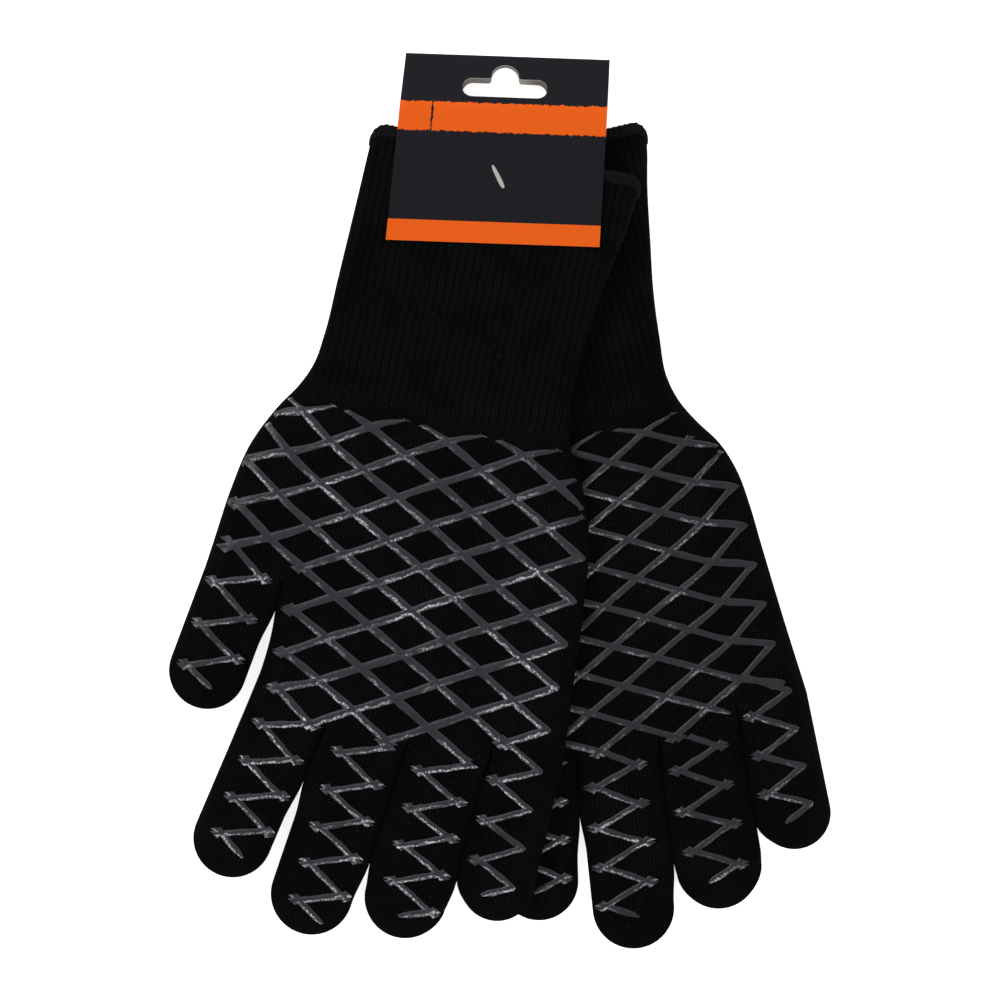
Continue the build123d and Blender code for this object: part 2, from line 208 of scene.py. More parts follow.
def closeSheet(outer, inner, quads, uv=None):
    # An outer and an inner face with the same net make one closed wall: points that fall together are
    # joined, and a strip stands on every edge that only one quad has.
    outer, inner = outer.reshape(-1, 3), inner.reshape(-1, 3)
    _, first, same = np.unique(np.round(outer, 3), axis=0, return_index=True, return_inverse=True)
    quads = same.reshape(-1)[quads]
    outer, inner = outer[first], inner[first]
    used, quads = np.unique(quads, return_inverse=True)
    quads = quads.reshape(-1, 4)
    outer, inner, n = outer[used], inner[used], len(used)
    edges = np.stack([quads, np.roll(quads, -1, axis=1)], axis=2).reshape(-1, 2)
    edges = edges[edges[:, 0] != edges[:, 1]]
    rim = edges[~np.isin(edges[:, 0] * n + edges[:, 1], edges[:, 1] * n + edges[:, 0])]
    walls = np.column_stack([rim[:, 0], rim[:, 0] + n, rim[:, 1] + n, rim[:, 1]])
    if uv is not None:
        uv = np.tile(uv.reshape(-1, 2)[first][used], (2, 1))
    return np.vstack([outer, inner]), np.vstack([quads, quads[:, ::-1] + n, walls]), uv


def netIds(net):
    # the point numbers of a net, one per row and column
    return np.arange(net.shape[0] * net.shape[1]).reshape(net.shape[:2])


def sheetQuads(ids):
    # quads of an open net, kept in their rows and columns
    return np.stack([ids[:-1, :-1], ids[:-1, 1:], ids[1:, 1:], ids[1:, :-1]], axis=-1)


def ringQuads(ids):
    # quads of a net whose columns close round, facing outwards
    right = np.roll(ids, -1, axis=1)
    return np.stack([ids[:-1], ids[1:], right[1:], right[:-1]], axis=-1).reshape(-1, 4)


def hoopQuads(ids):
    # quads of a net that closes round both ways, facing outwards
    below = np.roll(ids, -1, axis=0)
    return np.stack([ids, np.roll(ids, -1, axis=1), np.roll(below, -1, axis=1), below], axis=-1).reshape(-1, 4)


def ringOf(upper, under):
    # one closed ring per row: over the top from left to right, then back along the under side
    return np.concatenate([upper, under[:, -2:0:-1]], axis=1)


def weaveAcross(x, z):
    # distance along the cloth, not in plan: the plan place plus what the slope adds from the middle column
    step = np.hypot(np.diff(x, axis=1), np.diff(z, axis=1)) - np.abs(np.diff(x, axis=1))
    extra = np.concatenate([np.zeros((len(x), 1)), np.cumsum(step, axis=1)], axis=1)
    return x + extra - extra[:, [x.shape[1] // 2]]


def softDents(x, depth, which, side):
    # shallow hollows, never above the flat: three long waves that cross at an angle
    shift = gloves[which]["dent"] + (0.0 if side > 0 else glove["dentUnder"])
    waves = sum(weight * (np.sin(x / long + depth / high + part * shift) - 1)
                for long, high, part, weight in glove["dentWaves"])
    return glove["dentDepth"] * waves


def outline(name, depth, which=None):
    # x of one of the glove's outlines: left, palmLeft, or right, which each glove has for itself
    return smoothThrough(gloves[which][name] if which else glove[name], depth)


def splitDepth(x):
    # the line on which the fingers part from the hand
    return smoothThrough(glove["fingerSplit"], x)


def splitEnds(which):
    # where that line meets the two outlines
    left, right = glove["splitEnds"]
    return outline("palmLeft", left), outline("right", right, which)


def handSides(depth, which):
    # left and right outline, and the cosine of each outline's slant, from the place 1 mm before and after
    split = glove["thumbSplit"]

    def line(at):
        return np.where(at > split, outline("palmLeft", at), outline("left", at)), outline("right", at, which)

    (left, right), (leftUp, rightUp), (leftDown, rightDown) = line(depth), line(depth - 1), line(depth + 1)
    leftDown = np.where((depth > split - 1) & (depth <= split), left, leftDown)
    leftUp = np.where((depth > split) & (depth <= split + 1), left, leftUp)
    return left, right, 1 / np.hypot(1, (leftDown - leftUp) / 2), 1 / np.hypot(1, (rightDown - rightUp) / 2)


def handHalf(x, depth, which, side, inset=0.0):
    # half thickness of cuff and hand: a flat middle that rounds off towards both outlines
    left, right, leftCos, rightCos = handSides(depth, which)
    swell = smoothStep(glove["wristFrom"], glove["wristTo"], depth)
    flat = glove["cuffHalf"] + (glove["handHalf"] - glove["cuffHalf"]) * swell
    flat = flat - (glove["cuffHalf"] - glove["mouthHalf"]) * (1 - smoothStep(*glove["mouthSwell"], depth))
    radius = glove["cuffRound"] + (glove["sideRound"] - glove["cuffRound"]) * swell
    pastSplit = depth - glove["thumbSplit"]
    inner = glove["leastRound"] + radius * smoothStep(*glove["crotchRound"], pastSplit)
    leftRadius = np.where(pastSplit > 1e-6, inner, radius)
    flat = flat + softDents(x, depth, which, side) * smoothStep(*glove["dentFrom"], depth) - inset
    less = glove["roundIn"] * inset
    return (flat * pillow((x - left) * leftCos - inset, leftRadius - less * (leftRadius > inset))
            * pillow((right - x) * rightCos - inset, radius - less))


def fingerLong(which, name):
    # hinge line to where the round tip starts
    return fingers[name]["straight"] + gloves[which]["longer"][name]


def fingerPoint(name, across, along):
    # finger frame (across, towards the tip) to the glove frame (x, depth)
    lean, (x, depth) = math.radians(fingers[name]["lean"]), fingers[name]["root"]
    return (x + across * math.cos(lean) - along * math.sin(lean),
            depth + across * math.sin(lean) + along * math.cos(lean))


def fingerPlace(name, x, depth):
    # the other way: glove frame to finger frame
    lean, (rootX, rootDepth) = math.radians(fingers[name]["lean"]), fingers[name]["root"]
    dx, dd = x - rootX, depth - rootDepth
    return dx * math.cos(lean) + dd * math.sin(lean), dd * math.cos(lean) - dx * math.sin(lean)


def fingerSide(name, along, right):
    # half width on one side: the finger keeps against its neighbour for a while, then draws in
    spec, k = fingers[name], int(right)
    touch, half = spec["touch"][k], spec["half"]
    if not touch:
        return half + 0 * along
    wider = glove["wider"] + spec["spread"][k] * np.clip(along, 0, touch)
    return half + wider * (1 - smoothStep(touch, touch + glove["widerEnd"], along))


def rootRound(along):
    # radius of an edge that parts from a neighbour: next to nothing on the hand's side, full on the finger
    return glove["leastRound"] + glove["fingerRound"] * smoothStep(*glove["rootRound"], along)


def fingerHalf(name, across, along, which, side, inset=0.0):
    # half thickness of a finger; past its straight part the distance from the tip's centre counts
    spec = fingers[name]
    past = np.clip(along - fingerLong(which, name), 0, None)
    outer = [fingerSide(name, along, right) - inset for right in (False, True)]
    reach = np.where(past > 0, np.hypot(across, past), across)
    fromLeft = np.where(past > 0, outer[0] - reach, outer[0] + across)
    fromRight = outer[1] - reach
    rounder = glove["fingerRound"] - glove["sideRound"]
    plain = glove["sideRound"] + rounder * smoothStep(0, glove["sideRoundTo"], along)
    x, depth = fingerPoint(name, across, along)
    half = glove["handHalf"] + softDents(x, depth, which, side) - inset
    for parting, fromEdge in zip(spec["parting"], (fromLeft, fromRight)):
        radius = plain if parting is None else rootRound(along)
        half = half * pillow(fromEdge, np.maximum(radius - glove["roundIn"] * inset, glove["leastRound"]))
    return half


def cornerDrop(fromEdge):
    # how much further down the cuff's mouth lies near its two rounded corners
    return glove["mouthCorner"] * (1 - pillow(fromEdge, glove["mouthCorner"]))


def handShell(which, insets):
    # cuff and hand as one net at two insets; the palm's net goes on from the upper one's last row
    t = glove["thumbColumns"]
    palmShare = crowded(glove["palmColumns"])
    thumbShare = 1 - np.cos(np.pi / 2 * np.arange(t) / t)
    down = np.linspace(glove["mouthRow"], glove["thumbSplit"], glove["upperRows"])[:, None]
    lower = np.linspace(0, 1, glove["palmRows"])[:, None] ** glove["palmCrowd"]
    layers = []
    for inset in insets:
        # the mouth's corners are rounded, so its outer columns start further down
        left, right, _, _ = handSides(down, which)
        column = outline("thumbColumn", down)
        x = np.concatenate([left + (column - left) * thumbShare, column + (right - column) * palmShare[1:]], axis=1)
        drop = cornerDrop(np.minimum(x - left, right - x))
        depth = down + drop * (1 - smoothStep(*glove["cornerEnd"], down))
        share = (x - left) / (right - left)
        left, right, _, _ = handSides(np.minimum(depth, glove["thumbSplit"]), which)
        x = left + inset + (right - left - 2 * inset) * share
        grids = [(x, depth)]

        # palm
        ends = splitEnds(which)
        lastDepth = splitDepth(ends[0] + (ends[1] - ends[0]) * palmShare)
        depth = glove["thumbSplit"] + (lastDepth - glove["thumbSplit"]) * lower
        left, right = outline("palmLeft", depth), outline("right", depth, which)
        x = left + inset + (right - left - 2 * inset) * palmShare
        x[0, 1:] = grids[0][0][-1, t:]
        grids.append((x, depth))
        nets = []
        for k, (x, depth) in enumerate(grids):
            # the palm's first row counts as past the thumb's split, but keeps the thickness of the row above
            halves = [handHalf(x, depth + 1e-4 * k, which, side, inset) for side in (1, -1)]
            for half in halves:
                half[:, 1:-1] = np.maximum(half[:, 1:-1], glove["leastHalf"])
                half[:, [0, -1]] = 0
            if k:
                for half, before in zip(halves, lastRow):
                    half[0, 1:] = before
            lastRow = [half[-1, t:] for half in halves]
            across = weaveAcross(x, halves[0])
            nets.append((ringOf(toWorld(which, x, depth, halves[0]), toWorld(which, x, depth, -halves[1])),
                         np.stack([ringOf(across, across), ringOf(depth, depth)], axis=-1)))
        layers.append(nets)
    faces, start = [], 0
    for net, _ in layers[0]:
        faces.append(ringQuads(start + netIds(net)))
        start += netIds(net).size
    flatten = [np.vstack([net.reshape(-1, 3) for net, _ in layer]) for layer in layers]
    uv = np.vstack([weave.reshape(-1, 2) for _, weave in layers[0]])
    return closeSheet(flatten[0], flatten[1], np.vstack(faces), uv)


def fingerShell(which, name, insets, columns):
    # A finger as one net at two insets: from the split line down to its hinge line, along its straight
    # sides, and round its tip to one pole.
    spec = fingers[name]
    share = crowded(columns)
    rootShare = np.linspace(0, 1, glove["rootRows"])[:-1, None]
    straight = np.linspace(0, fingerLong(which, name), glove["straightRows"])[:, None]
    turn = np.linspace(0, np.pi / 2, glove["tipRows"])[1:, None]
    rows = len(rootShare)
    corners = [fingerPoint(name, sign * fingerSide(name, 0.0, sign > 0), 0.0) for sign in (-1, 1)]
    if name == "thumb":
        split = glove["thumbSplit"]
        starts = [(outline("left", split), split), (spec["parting"][1], split)]
    else:
        starts = [end if parting is None else parting for parting, end in zip(spec["parting"], splitEnds(which))]
        starts = [(x, splitDepth(x)) for x in starts]
    sides = [[starts[k][i] + (corners[k][i] - starts[k][i]) * rootShare for i in (0, 1)] for k in (0, 1)]
    layers = []
    for inset in insets:
        # root: from the split line to the hinge line
        width = np.hypot(sides[1][0] - sides[0][0], sides[1][1] - sides[0][1])
        inShare = inset / width + (1 - 2 * inset / width) * share
        x = sides[0][0] + (sides[1][0] - sides[0][0]) * inShare
        depth = sides[0][1] + (sides[1][1] - sides[0][1]) * inShare
        if name != "thumb":
            chord = starts[0][1] + (starts[1][1] - starts[0][1]) * inShare
            depth = depth + (splitDepth(x) - chord) * (1 - rootShare) ** 2
        rootAcross, rootAlong = fingerPlace(name, x, depth)
        # straight part and tip
        low, high = [fingerSide(name, straight, right) - inset for right in (False, True)]
        acrossStraight = -low + (low + high) * share
        tip = spec["half"] - inset
        fade = 1 - smoothStep(0, glove["tipFade"], turn)
        acrossTip = (tip * np.cos(turn) * (2 * share - 1)
                     + fade * ((high[-1] - tip) * share - (low[-1] - tip) * (1 - share)))
        alongTip = fingerLong(which, name) + tip * np.sin(turn) + 0 * share
        across = np.vstack([rootAcross, acrossStraight, acrossTip])
        along = np.vstack([rootAlong, straight + 0 * share, alongTip])
        halves = []
        for side in (1, -1):
            own = fingerHalf(name, across, along, which, side, inset)
            # on the hand's side of the hinge line the edges stand up straight against the neighbours
            own[:rows] = glove["handHalf"] + softDents(x, depth, which, side) - inset
            for parting, part in zip(spec["parting"], (inShare, 1 - inShare)):
                plain = glove["sideRound"] - glove["roundIn"] * inset
                radius = plain if parting is None else rootRound(along[:rows])
                own[:rows] *= pillow(part * width - inset, radius)
            own = np.maximum(own, glove["leastHalf"])
            own[:, [0, -1]] = 0
            own[-1] = 0
            halves.append(own)
        gx, gd = fingerPoint(name, across, along)
        net = ringOf(toWorld(which, gx, gd, halves[0]), toWorld(which, gx, gd, -halves[1]))
        weave = weaveAcross(across, halves[0]) + spec["root"][0]
        layers.append((net, np.stack([ringOf(weave, weave), ringOf(along, along) + spec["root"][1]], axis=-1)))
    net, uv = layers[0]
    return closeSheet(net, layers[1][0], ringQuads(netIds(net)), uv)


def linear(code):
    # sRGB hex colour to linear light
    parts = [int(code[i:i + 2], 16) / 255 for i in (1, 3, 5)]
    return [c / 12.92 if c <= 0.04045 else ((c + 0.055) / 1.055) ** 2.4 for c in parts] + [1.0]


def node(tree, kind, inputs=(), **settings):
    # one node with its settings; an input is a plain value, a hex colour, a node, or one output of a node
    made = tree.nodes.new("ShaderNode" + kind)
    for key, value in settings.items():
        setattr(made, key, value)
    for key, value in (inputs.items() if isinstance(inputs, dict) else enumerate(inputs)):
        if isinstance(value, bpy.types.Node):
            value = next(output for output in value.outputs if output.enabled)
        if isinstance(value, bpy.types.NodeSocket):
            tree.links.new(value, made.inputs[key])
        else:
            made.inputs[key].default_value = linear(value) if isinstance(value, str) else value
    return made


def newMaterial(name):
    # an empty material, and what adds a node to it
    material = bpy.data.materials.new(name)
    material.use_nodes = True
    material.node_tree.nodes.clear()
    return material, functools.partial(node, material.node_tree)


# spacings in mm, heights as parts of the bump; a range says which values, from and to, become which
knitLook = {
    "wale": 1.5, "course": 1.2, "rib": 3.0, "wobble": 0.9,
    "waleHeight": 0.6, "courseHeight": 0.16, "ribHeight": 0.8, "fuzzHeight": 0.5,
    # the stitch and cuff ranges set painted shading: stitches' low parts darker, and darker again over the ribbed
    # cuff
    "cuffRange": (100.0, 108.0, 1.0, 0.0), "stitchShadeRange": (0.1, 1.5, 0.0, 1.0), "cuffShadeRange": (0.0, 1.0, 1.0, 0.55),
    "dyeRange": (0.35, 0.65, 0.45, 1.25), "fibreRange": (0.66, 0.8, 0.0, 0.5),
    "deep": "#010202", "yarn": "#0d100f", "fleck": "#1c2123",
}


def knitMaterial(look):
    # Machine-knitted aramid and cotton, dyed black: dry and dull, with the stitches' V columns. The cuff shows
    # ribs twice as wide as a stitch. The stitches are drawn as coarse as they need to be to show.
    material, add = newMaterial("BlackAramidKnit")
    weave = add("UVMap", uv_map="weave")
    place = add("TexCoord").outputs["Object"]
    wobble = add("TexNoise", {"Vector": weave, "Scale": 0.12, "Detail": 2.0})
    split = add("SeparateXYZ", [weave])
    across = add("Math", [wobble, look["wobble"], split.outputs[0]], operation="MULTIPLY_ADD")
    down = split.outputs[1]

    def arches(spacing):
        # one arch a spacing: the sine of the place across the cloth, without its sign
        turned = add("Math", [across, math.pi / spacing], operation="MULTIPLY")
        return add("Math", [add("Math", [turned], operation="SINE")], operation="ABSOLUTE")

    # every stitch is a V: its rows slant down towards the middle of its column
    slant = add("Math", [add("Math", [across, look["wale"] / 2], operation="PINGPONG"), down], operation="ADD")
    turned = add("Math", [slant, 2 * math.pi / look["course"]], operation="MULTIPLY")
    row = add("Math", [turned], operation="SINE")
    # the cuff's ribs fade out where the hand starts
    inCuff = add("MapRange", [down, *look["cuffRange"]])
    rib = add("Math", [arches(look["rib"]), inCuff], operation="MULTIPLY")
    fuzz = add("TexNoise", {"Vector": place, "Scale": 1600.0, "Detail": 3.0})
    height = add("Math", [arches(look["wale"]), look["waleHeight"]], operation="MULTIPLY")
    for part, share in ((row, "courseHeight"), (rib, "ribHeight"), (fuzz, "fuzzHeight")):
        height = add("Math", [part, look[share], height], operation="MULTIPLY_ADD")
    # painted shading darkens each stitch's low parts and is held darker over the ribbed cuff, yarns take the dye
    # unevenly, and a few pale fibres stick out
    patch = add("TexNoise", {"Vector": place, "Scale": 45.0, "Detail": 5.0, "Roughness": 0.7})
    stitchShadeAndDye = add("MapRange", [height, *look["stitchShadeRange"]])
    for part, change in ((inCuff, "cuffShadeRange"), (patch, "dyeRange")):
        stitchShadeAndDye = add("Math", [stitchShadeAndDye, add("MapRange", [part, *look[change]])], operation="MULTIPLY")
    fibre = add("TexNoise", {"Vector": place, "Scale": 1100.0, "Detail": 1.0})
    fibre = add("MapRange", [fibre, *look["fibreRange"]])
    # painted shading: the stitches' low parts take the deep tone, their crowns the yarn tone
    colour = add("Mix", {0: stitchShadeAndDye, 6: look["deep"], 7: look["yarn"]}, data_type="RGBA")
    colour = add("Mix", {0: fibre, 6: colour, 7: look["fleck"]}, data_type="RGBA")
    bump = add("Bump", {"Height": height, "Strength": 0.7, "Distance": 0.4 * mm})
    add("OutputMaterial", [add("BsdfPrincipled", {"Base Color": colour, "Normal": bump, "Roughness": 0.95,
                                                  "Specular IOR Level": 0.03})])
    return material


siliconeLook = {
    "ridgeAt": (0.3, 0.7, 0.15, 0.95), "ridgeWide": (0.0, 0.5, 1.0, 0.0), "ridgeHeight": 0.4, "grainHeight": 0.5,
    # painted highlights: where pale glints are painted, more low down, fewer on the far glove, in patches and
    # broken into specks
    "glintLowRange": (-0.1, -0.06, 0.08, 0.0), "glintFarRange": (0.02, 0.05, 0.0, -0.1),    # along y and x, in metres
    "glintPatchRange": (0.46, 0.63, 0.0, 0.9), "glintSpeckRange": (0.43, 0.63, 0.12, 1.0),
    "edgeSheenRange": (0.5, 1.0, 0.0, 0.35), "farShadeRange": (0.02, 0.05, 0.0, 0.35),
    "deep": "#121116", "skin": "#28262d", "edge": "#504e58", "farShadeTone": "#0d0d11", "paintedGlint": "#dddce4",
}


def siliconeMaterial(look):
    # Screen-printed silicone, dark grey with a violet tinge: smooth and half glossy, its edges standing up a
    # little. Glints are painted pale along a ridge near one edge and broken into specks, edges get a painted sheen,
    # the far glove painted shade.
    material, add = newMaterial("PrintedSilicone")
    place = add("TexCoord").outputs["Object"]
    where = add("SeparateXYZ", [place])
    line = add("SeparateXYZ", [add("UVMap", uv_map="weave")])
    grain = add("TexNoise", {"Vector": place, "Scale": 1150.0, "Detail": 2.0})
    swell = add("TexNoise", {"Vector": place, "Scale": 260.0, "Detail": 2.0})
    patch = add("TexNoise", {"Vector": place, "Scale": 42.0, "Detail": 3.0, "Roughness": 0.6})
    # 1 along a ridge just inside one edge of a line, 0 elsewhere
    offRidge = add("Math", [line, add("MapRange", [swell, *look["ridgeAt"]])], operation="SUBTRACT")
    ridge = add("MapRange", [add("Math", [offRidge], operation="ABSOLUTE"), *look["ridgeWide"]])
    height = swell
    for part, share in ((ridge, "ridgeHeight"), (grain, "grainHeight")):
        height = add("Math", [part, look[share], height], operation="MULTIPLY_ADD")
    # painted highlights: more glint patches on the lower fingers, fewer on the far glove
    for part, change in ((where.outputs[1], "glintLowRange"), (where.outputs[0], "glintFarRange")):
        patch = add("Math", [patch, add("MapRange", [part, *look[change]])], operation="ADD")
    # painted highlight: pale glints along the ridge, in patches, broken into specks by the grain
    glintMask = ridge
    for part, change in ((patch, "glintPatchRange"), (grain, "glintSpeckRange")):
        glintMask = add("Math", [glintMask, add("MapRange", [part, *look[change]])], operation="MULTIPLY")
    # painted sheen: each line is painted lighter towards its edges, in the edge colour
    offMiddle = add("Math", [line], operation="ABSOLUTE")
    colour = add("Mix", {0: swell, 6: look["deep"], 7: look["skin"]}, data_type="RGBA")
    # painted shade: the far glove's print is mixed towards a near-black tone by its place across the table
    for share, tone in ((add("MapRange", [offMiddle, *look["edgeSheenRange"]]), "edge"),
                        (add("MapRange", [where, *look["farShadeRange"]]), "farShadeTone"), (glintMask, "paintedGlint")):
        colour = add("Mix", {0: share, 6: colour, 7: look[tone]}, data_type="RGBA")
    bump = add("Bump", {"Height": height, "Strength": 0.6, "Distance": 0.5 * mm})
    add("OutputMaterial", [add("BsdfPrincipled", {"Base Color": colour, "Normal": bump, "Roughness": 0.36,
                                                  "IOR": 1.42, "Specular IOR Level": 0.35})])
    return material


def grainMaterial(name, dark, light, scale, roughness, specular=0.12, depth=0.25):
    # A soft mottled tone with a fine fuzzy grain, for dyed cotton yarn and bare pulp board.
    material, add = newMaterial(name)
    grain = add("TexNoise", {"Vector": add("TexCoord").outputs["Object"], "Scale": scale, "Detail": 4.0})
    colour = add("Mix", {0: grain, 6: dark, 7: light}, data_type="RGBA")
    shader = {"Base Color": colour, "Roughness": roughness, "Specular IOR Level": specular}
    if depth:
        shader["Normal"] = add("Bump", {"Height": grain, "Strength": 0.5, "Distance": depth * mm})
    add("OutputMaterial", [add("BsdfPrincipled", shader)])
    return material


knit = knitMaterial(knitLook)
silicone = siliconeMaterial(siliconeLook)
# dry cotton jersey, pale enough to show in the cuff's mouth, and the hem's black yarn, a little smoother
linerCloth = grainMaterial("GreyCottonJersey", "#2c2c2e", "#4a4a4d", 1300.0, 0.95)
overlock = grainMaterial("BlackOverlockYarn", "#020303", "#0a0c0c", 1500.0, 0.9)
print("materials made")


def finish(piece, material, slot, which, name=None, nodes=()):
    # material, slot (not used), the CAD nodes it stands for, and the body or bodies it moves with
    piece.data.materials.append(material)
    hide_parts(*nodes)
    if name in gloves[which]["free"]:
        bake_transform(piece)
    else:
        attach(piece, which + "_glove")
    return piece


# each layer: title, insets, material, slot, what its nodes' names end with, and a finger's columns
layers = (("Knit", (0.0, glove["shell"]), knit, "knit", "", glove["fingerColumns"]),
          ("Liner", (glove["linerOut"], glove["linerIn"]), linerCloth, "liner", "_liner", glove["linerColumns"]))
for which in gloves:
    for title, insets, cloth, slot, suffix, _ in layers:
        piece = makeMesh(f"{which}{title}Hand", *handShell(which, insets))
        finish(piece, cloth, slot, which, nodes=(f"{which}_cuff{suffix}", f"{which}_hand{suffix}"))
    for name in fingers:
        for title, insets, cloth, slot, suffix, columns in layers:
            piece = makeMesh(which + name.capitalize() + title, *fingerShell(which, name, insets, columns))
            finish(piece, cloth, slot, which, name, nodes=(f"{which}_{name}{suffix}",))
print("shells and liners made")

grip = {
    "fingerWidth": 2.5, "flare": 0.34, "rise": 0.72, "sunk": 0.25, "edgeRise": 0.35,
    "bead": (-1, -0.86, -0.55, 0, 0.55, 0.86, 1), "fill": 6,    # rows of points over a line, and between lines
    "beyond": 3.2, "corner": 1.6, "edge": 0.7, "edgeRoom": 1.0,
    # a line's end thins out to this part of its width, over this much of a crossing; its width wavers by a little
    "thin": 0.42, "fade": 0.42, "fadeUpper": 0.4, "waver": 0.09, "waverAlong": 5.3, "waverBetween": 2.1,
    "markLine": 37.0, "markFamily": 400.0,      # gap between lines, and between families, in the weave map
    # the cloth is never quite even: amount, and wave lengths across and along, for depth, for x, and on a finger
    "unevenDepth": [(0.35, 21, 37), (0.25, 8.5, -19)], "unevenX": [(0.3, 33, 16)],
    "unevenAcross": [(0.25, 9, 5)], "unevenAlong": [(0.3, 6, 11)],
    # the hand's diamonds: half the width of one, a crossing on the glove's axis, how far the lines reach above
    # their top crossings, and the crossings that close the print on the thumb's and the little finger's side
    "halfWide": 14.9, "crossX": 0.2, "reachUp": 0.9, "reachUpLeft": 0.68, "thumbCrossing": 5, "littleCrossing": 4,
    "stub": 0.46, "nearTop": -0.3, "nearEdge": 0.1,     # in crossings, how near an end has to be to end there
    "closedPast": 1.9, "closedPastFinger": 1.3, "topFlat": 0.62, "topFlatFrom": 1.5, "inThumb": 0.6, "inHand": 0.7,
    # where the lines may run: last depth on the thumb for the two families, how far they stay inside the left,
    # palm and right outline, how far into the crotches, and how far from a finger's own print
    "thumbEnd": (176.0, 190.0), "palmFrom": 180.0, "insideLeft": 1.0, "insidePalm": 2.0, "insideRight": 1.6,
    "intoCrotch": 20.0, "offFinger": 2.0, "splitRange": (-60, 75),
    # stretched cloth carries the print: up at the outer edge, the thumb's edge and the index finger's root, and in
    # at the wrist, each with how far and the ranges of x and depth over which it sets in
    "outerX": (40, 62), "thumbCreep": 2.8, "thumbX": (-52, -74),
    "indexCreep": 3.0, "indexX": (-28, -46), "indexDepth": (205, 222),
    "wristDraw": 3.4, "wristX": (-34, -60), "wristDepth": (112, 138),
    "intoTip": 4.0, "tipRound": 0.9,    # how far into its round tip a finger's last corner may lie
    "tries": (-9, 14), "run": (-10, 18), "runSteps": 2801, "leastSteps": 60,    # lines tried, and points along each
}
# Each glove: line width of the hand's print, half a diamond's height, depth of the top crossings, how far they
# creep up at the outer edge, and on which fingers how much of one more stroke leads in. Each finger's zigzag: its
# first corner from the hinge line, half a pitch, half its width, its middle at the hinge line and its drift.
zigzags = {
    "front": {"width": 3.15, "halfHigh": 8.38, "crossDepth": 114.6, "creep": 0.0, "led": {"thumb": 1, "little": 1},
              "thumb": (-3.2, 8.3, 7.9, -0.9, 1.0), "index": (-2.5, 7.45, 7.7, 1.3, 1.8),
              "middle": (-0.6, 7.4, 7.6, 0.7, 2.9), "ring": (0.2, 7.25, 7.9, 0.1, 2.6),
              "little": (5.2, 7.75, 7.6, -1.9, 0.4)},
    "back": {"width": 2.7, "halfHigh": 7.75, "crossDepth": 114.9, "creep": 3.2,
             "led": {"middle": 0.5, "ring": 0.35, "little": 1},
             "thumb": (-3.2, 8.3, 7.9, -0.9, 1.0), "index": (-2.5, 7.45, 7.7, 0.0, 1.0),
             "middle": (3.5, 7.65, 8.2, -1.6, -0.4), "ring": (3.9, 7.8, 8.1, -1.8, 1.2),
             "little": (-2.2, 7.5, 7.5, -0.3, -0.6)},
}


def gripPlaces(centres, half, beyond, step):
    # places of the net's lines across one family: over each print line's width, at its cut ends, and
    # evenly between two print lines
    offsets = np.concatenate([half * np.array(grip["bead"]), [-beyond, beyond],
                              np.linspace(beyond, step - beyond, grip["fill"] + 2)[1:-1]])
    centres = np.concatenate([[centres[0] - step], centres])
    return np.unique(np.round((centres[:, None] + offsets).ravel(), 4))


def gripNet(rising, falling, step, half, beyond, toPlan, surface):
    # The print of two families of slanting lines as one net. A rising line lies at a whole p and runs along q,
    # a falling line lies at a whole q and runs along p; each row of a table is a line's place, its two ends,
    # and whether each end thins out. Only the net's cells inside a line are kept.
    rising, falling = np.array(rising, float), np.array(falling, float)
    p = gripPlaces(rising[:, 0], half, beyond, step)
    q = gripPlaces(falling[:, 0], half, beyond, step)

    def inside(table, across, along, slack):
        k = np.abs(across[..., None] - table[:, 0]).argmin(axis=-1)
        on = (along >= table[k, 1] - slack) & (along <= table[k, 2] + slack)
        return k, on & (np.abs(across - table[k, 0]) <= half + slack)

    pc, qc = np.meshgrid((p[1:] + p[:-1]) / 2, (q[1:] + q[:-1]) / 2, indexing="ij")
    kept = inside(rising, pc, qc, 0)[1] | inside(falling, qc, pc, 0)[1]
    pg, qg = np.meshgrid(p, q, indexing="ij")
    height, onLine, placed, mark = np.zeros(pg.shape), [], [], np.zeros(pg.shape + (2,))
    for n, (table, across, along) in enumerate(((rising, pg, qg), (falling, qg, pg))):
        k, on = inside(table, across, along, 1e-3)
        away = np.clip((across - table[k, 0]) / half, -1, 1)
        own = np.where(on, np.sqrt(1 - np.abs(away) ** 3), 0)
        # an end either thins out or, where it is a barb, spreads like a fish's tail
        full, spread = 1, 0
        for fromEnd, thins in ((along - table[k, 1], table[k, 3]), (table[k, 2] - along, table[k, 4])):
            full = full * (1 - thins * (1 - smoothStep(0, grip["fade"], fromEnd)))
            spread = spread + np.where(thins > 0, 0, 1 - smoothStep(0, beyond, fromEnd))
        waver = 1 + grip["waver"] * np.sin(grip["waverAlong"] * along + grip["waverBetween"] * table[k, 0])
        thin = (grip["thin"] + (1 - grip["thin"]) * full) * waver * (1 + grip["flare"] * spread)
        placed.append(table[k, 0] + (across - table[k, 0]) * thin)
        # how far across the line, from -1 to 1, and how far along it, apart for each line
        ownMark = np.stack([away, along + grip["markLine"] * table[k, 0] + grip["markFamily"] * n], axis=-1)
        mark = np.where((own > height)[..., None], ownMark, mark)
        height = np.maximum(height, own)
        onLine.append(on)
    x, depth = toPlan(np.where(onLine[0] & ~onLine[1], placed[0], pg),
                      np.where(onLine[1] & ~onLine[0], placed[1], qg))
    cloth = surface(x, depth)
    top = cloth + grip["rise"] * (grip["edgeRise"] + (1 - grip["edgeRise"]) * height)
    return x, depth, top, cloth - grip["sunk"], sheetQuads(netIds(pg))[kept], mark


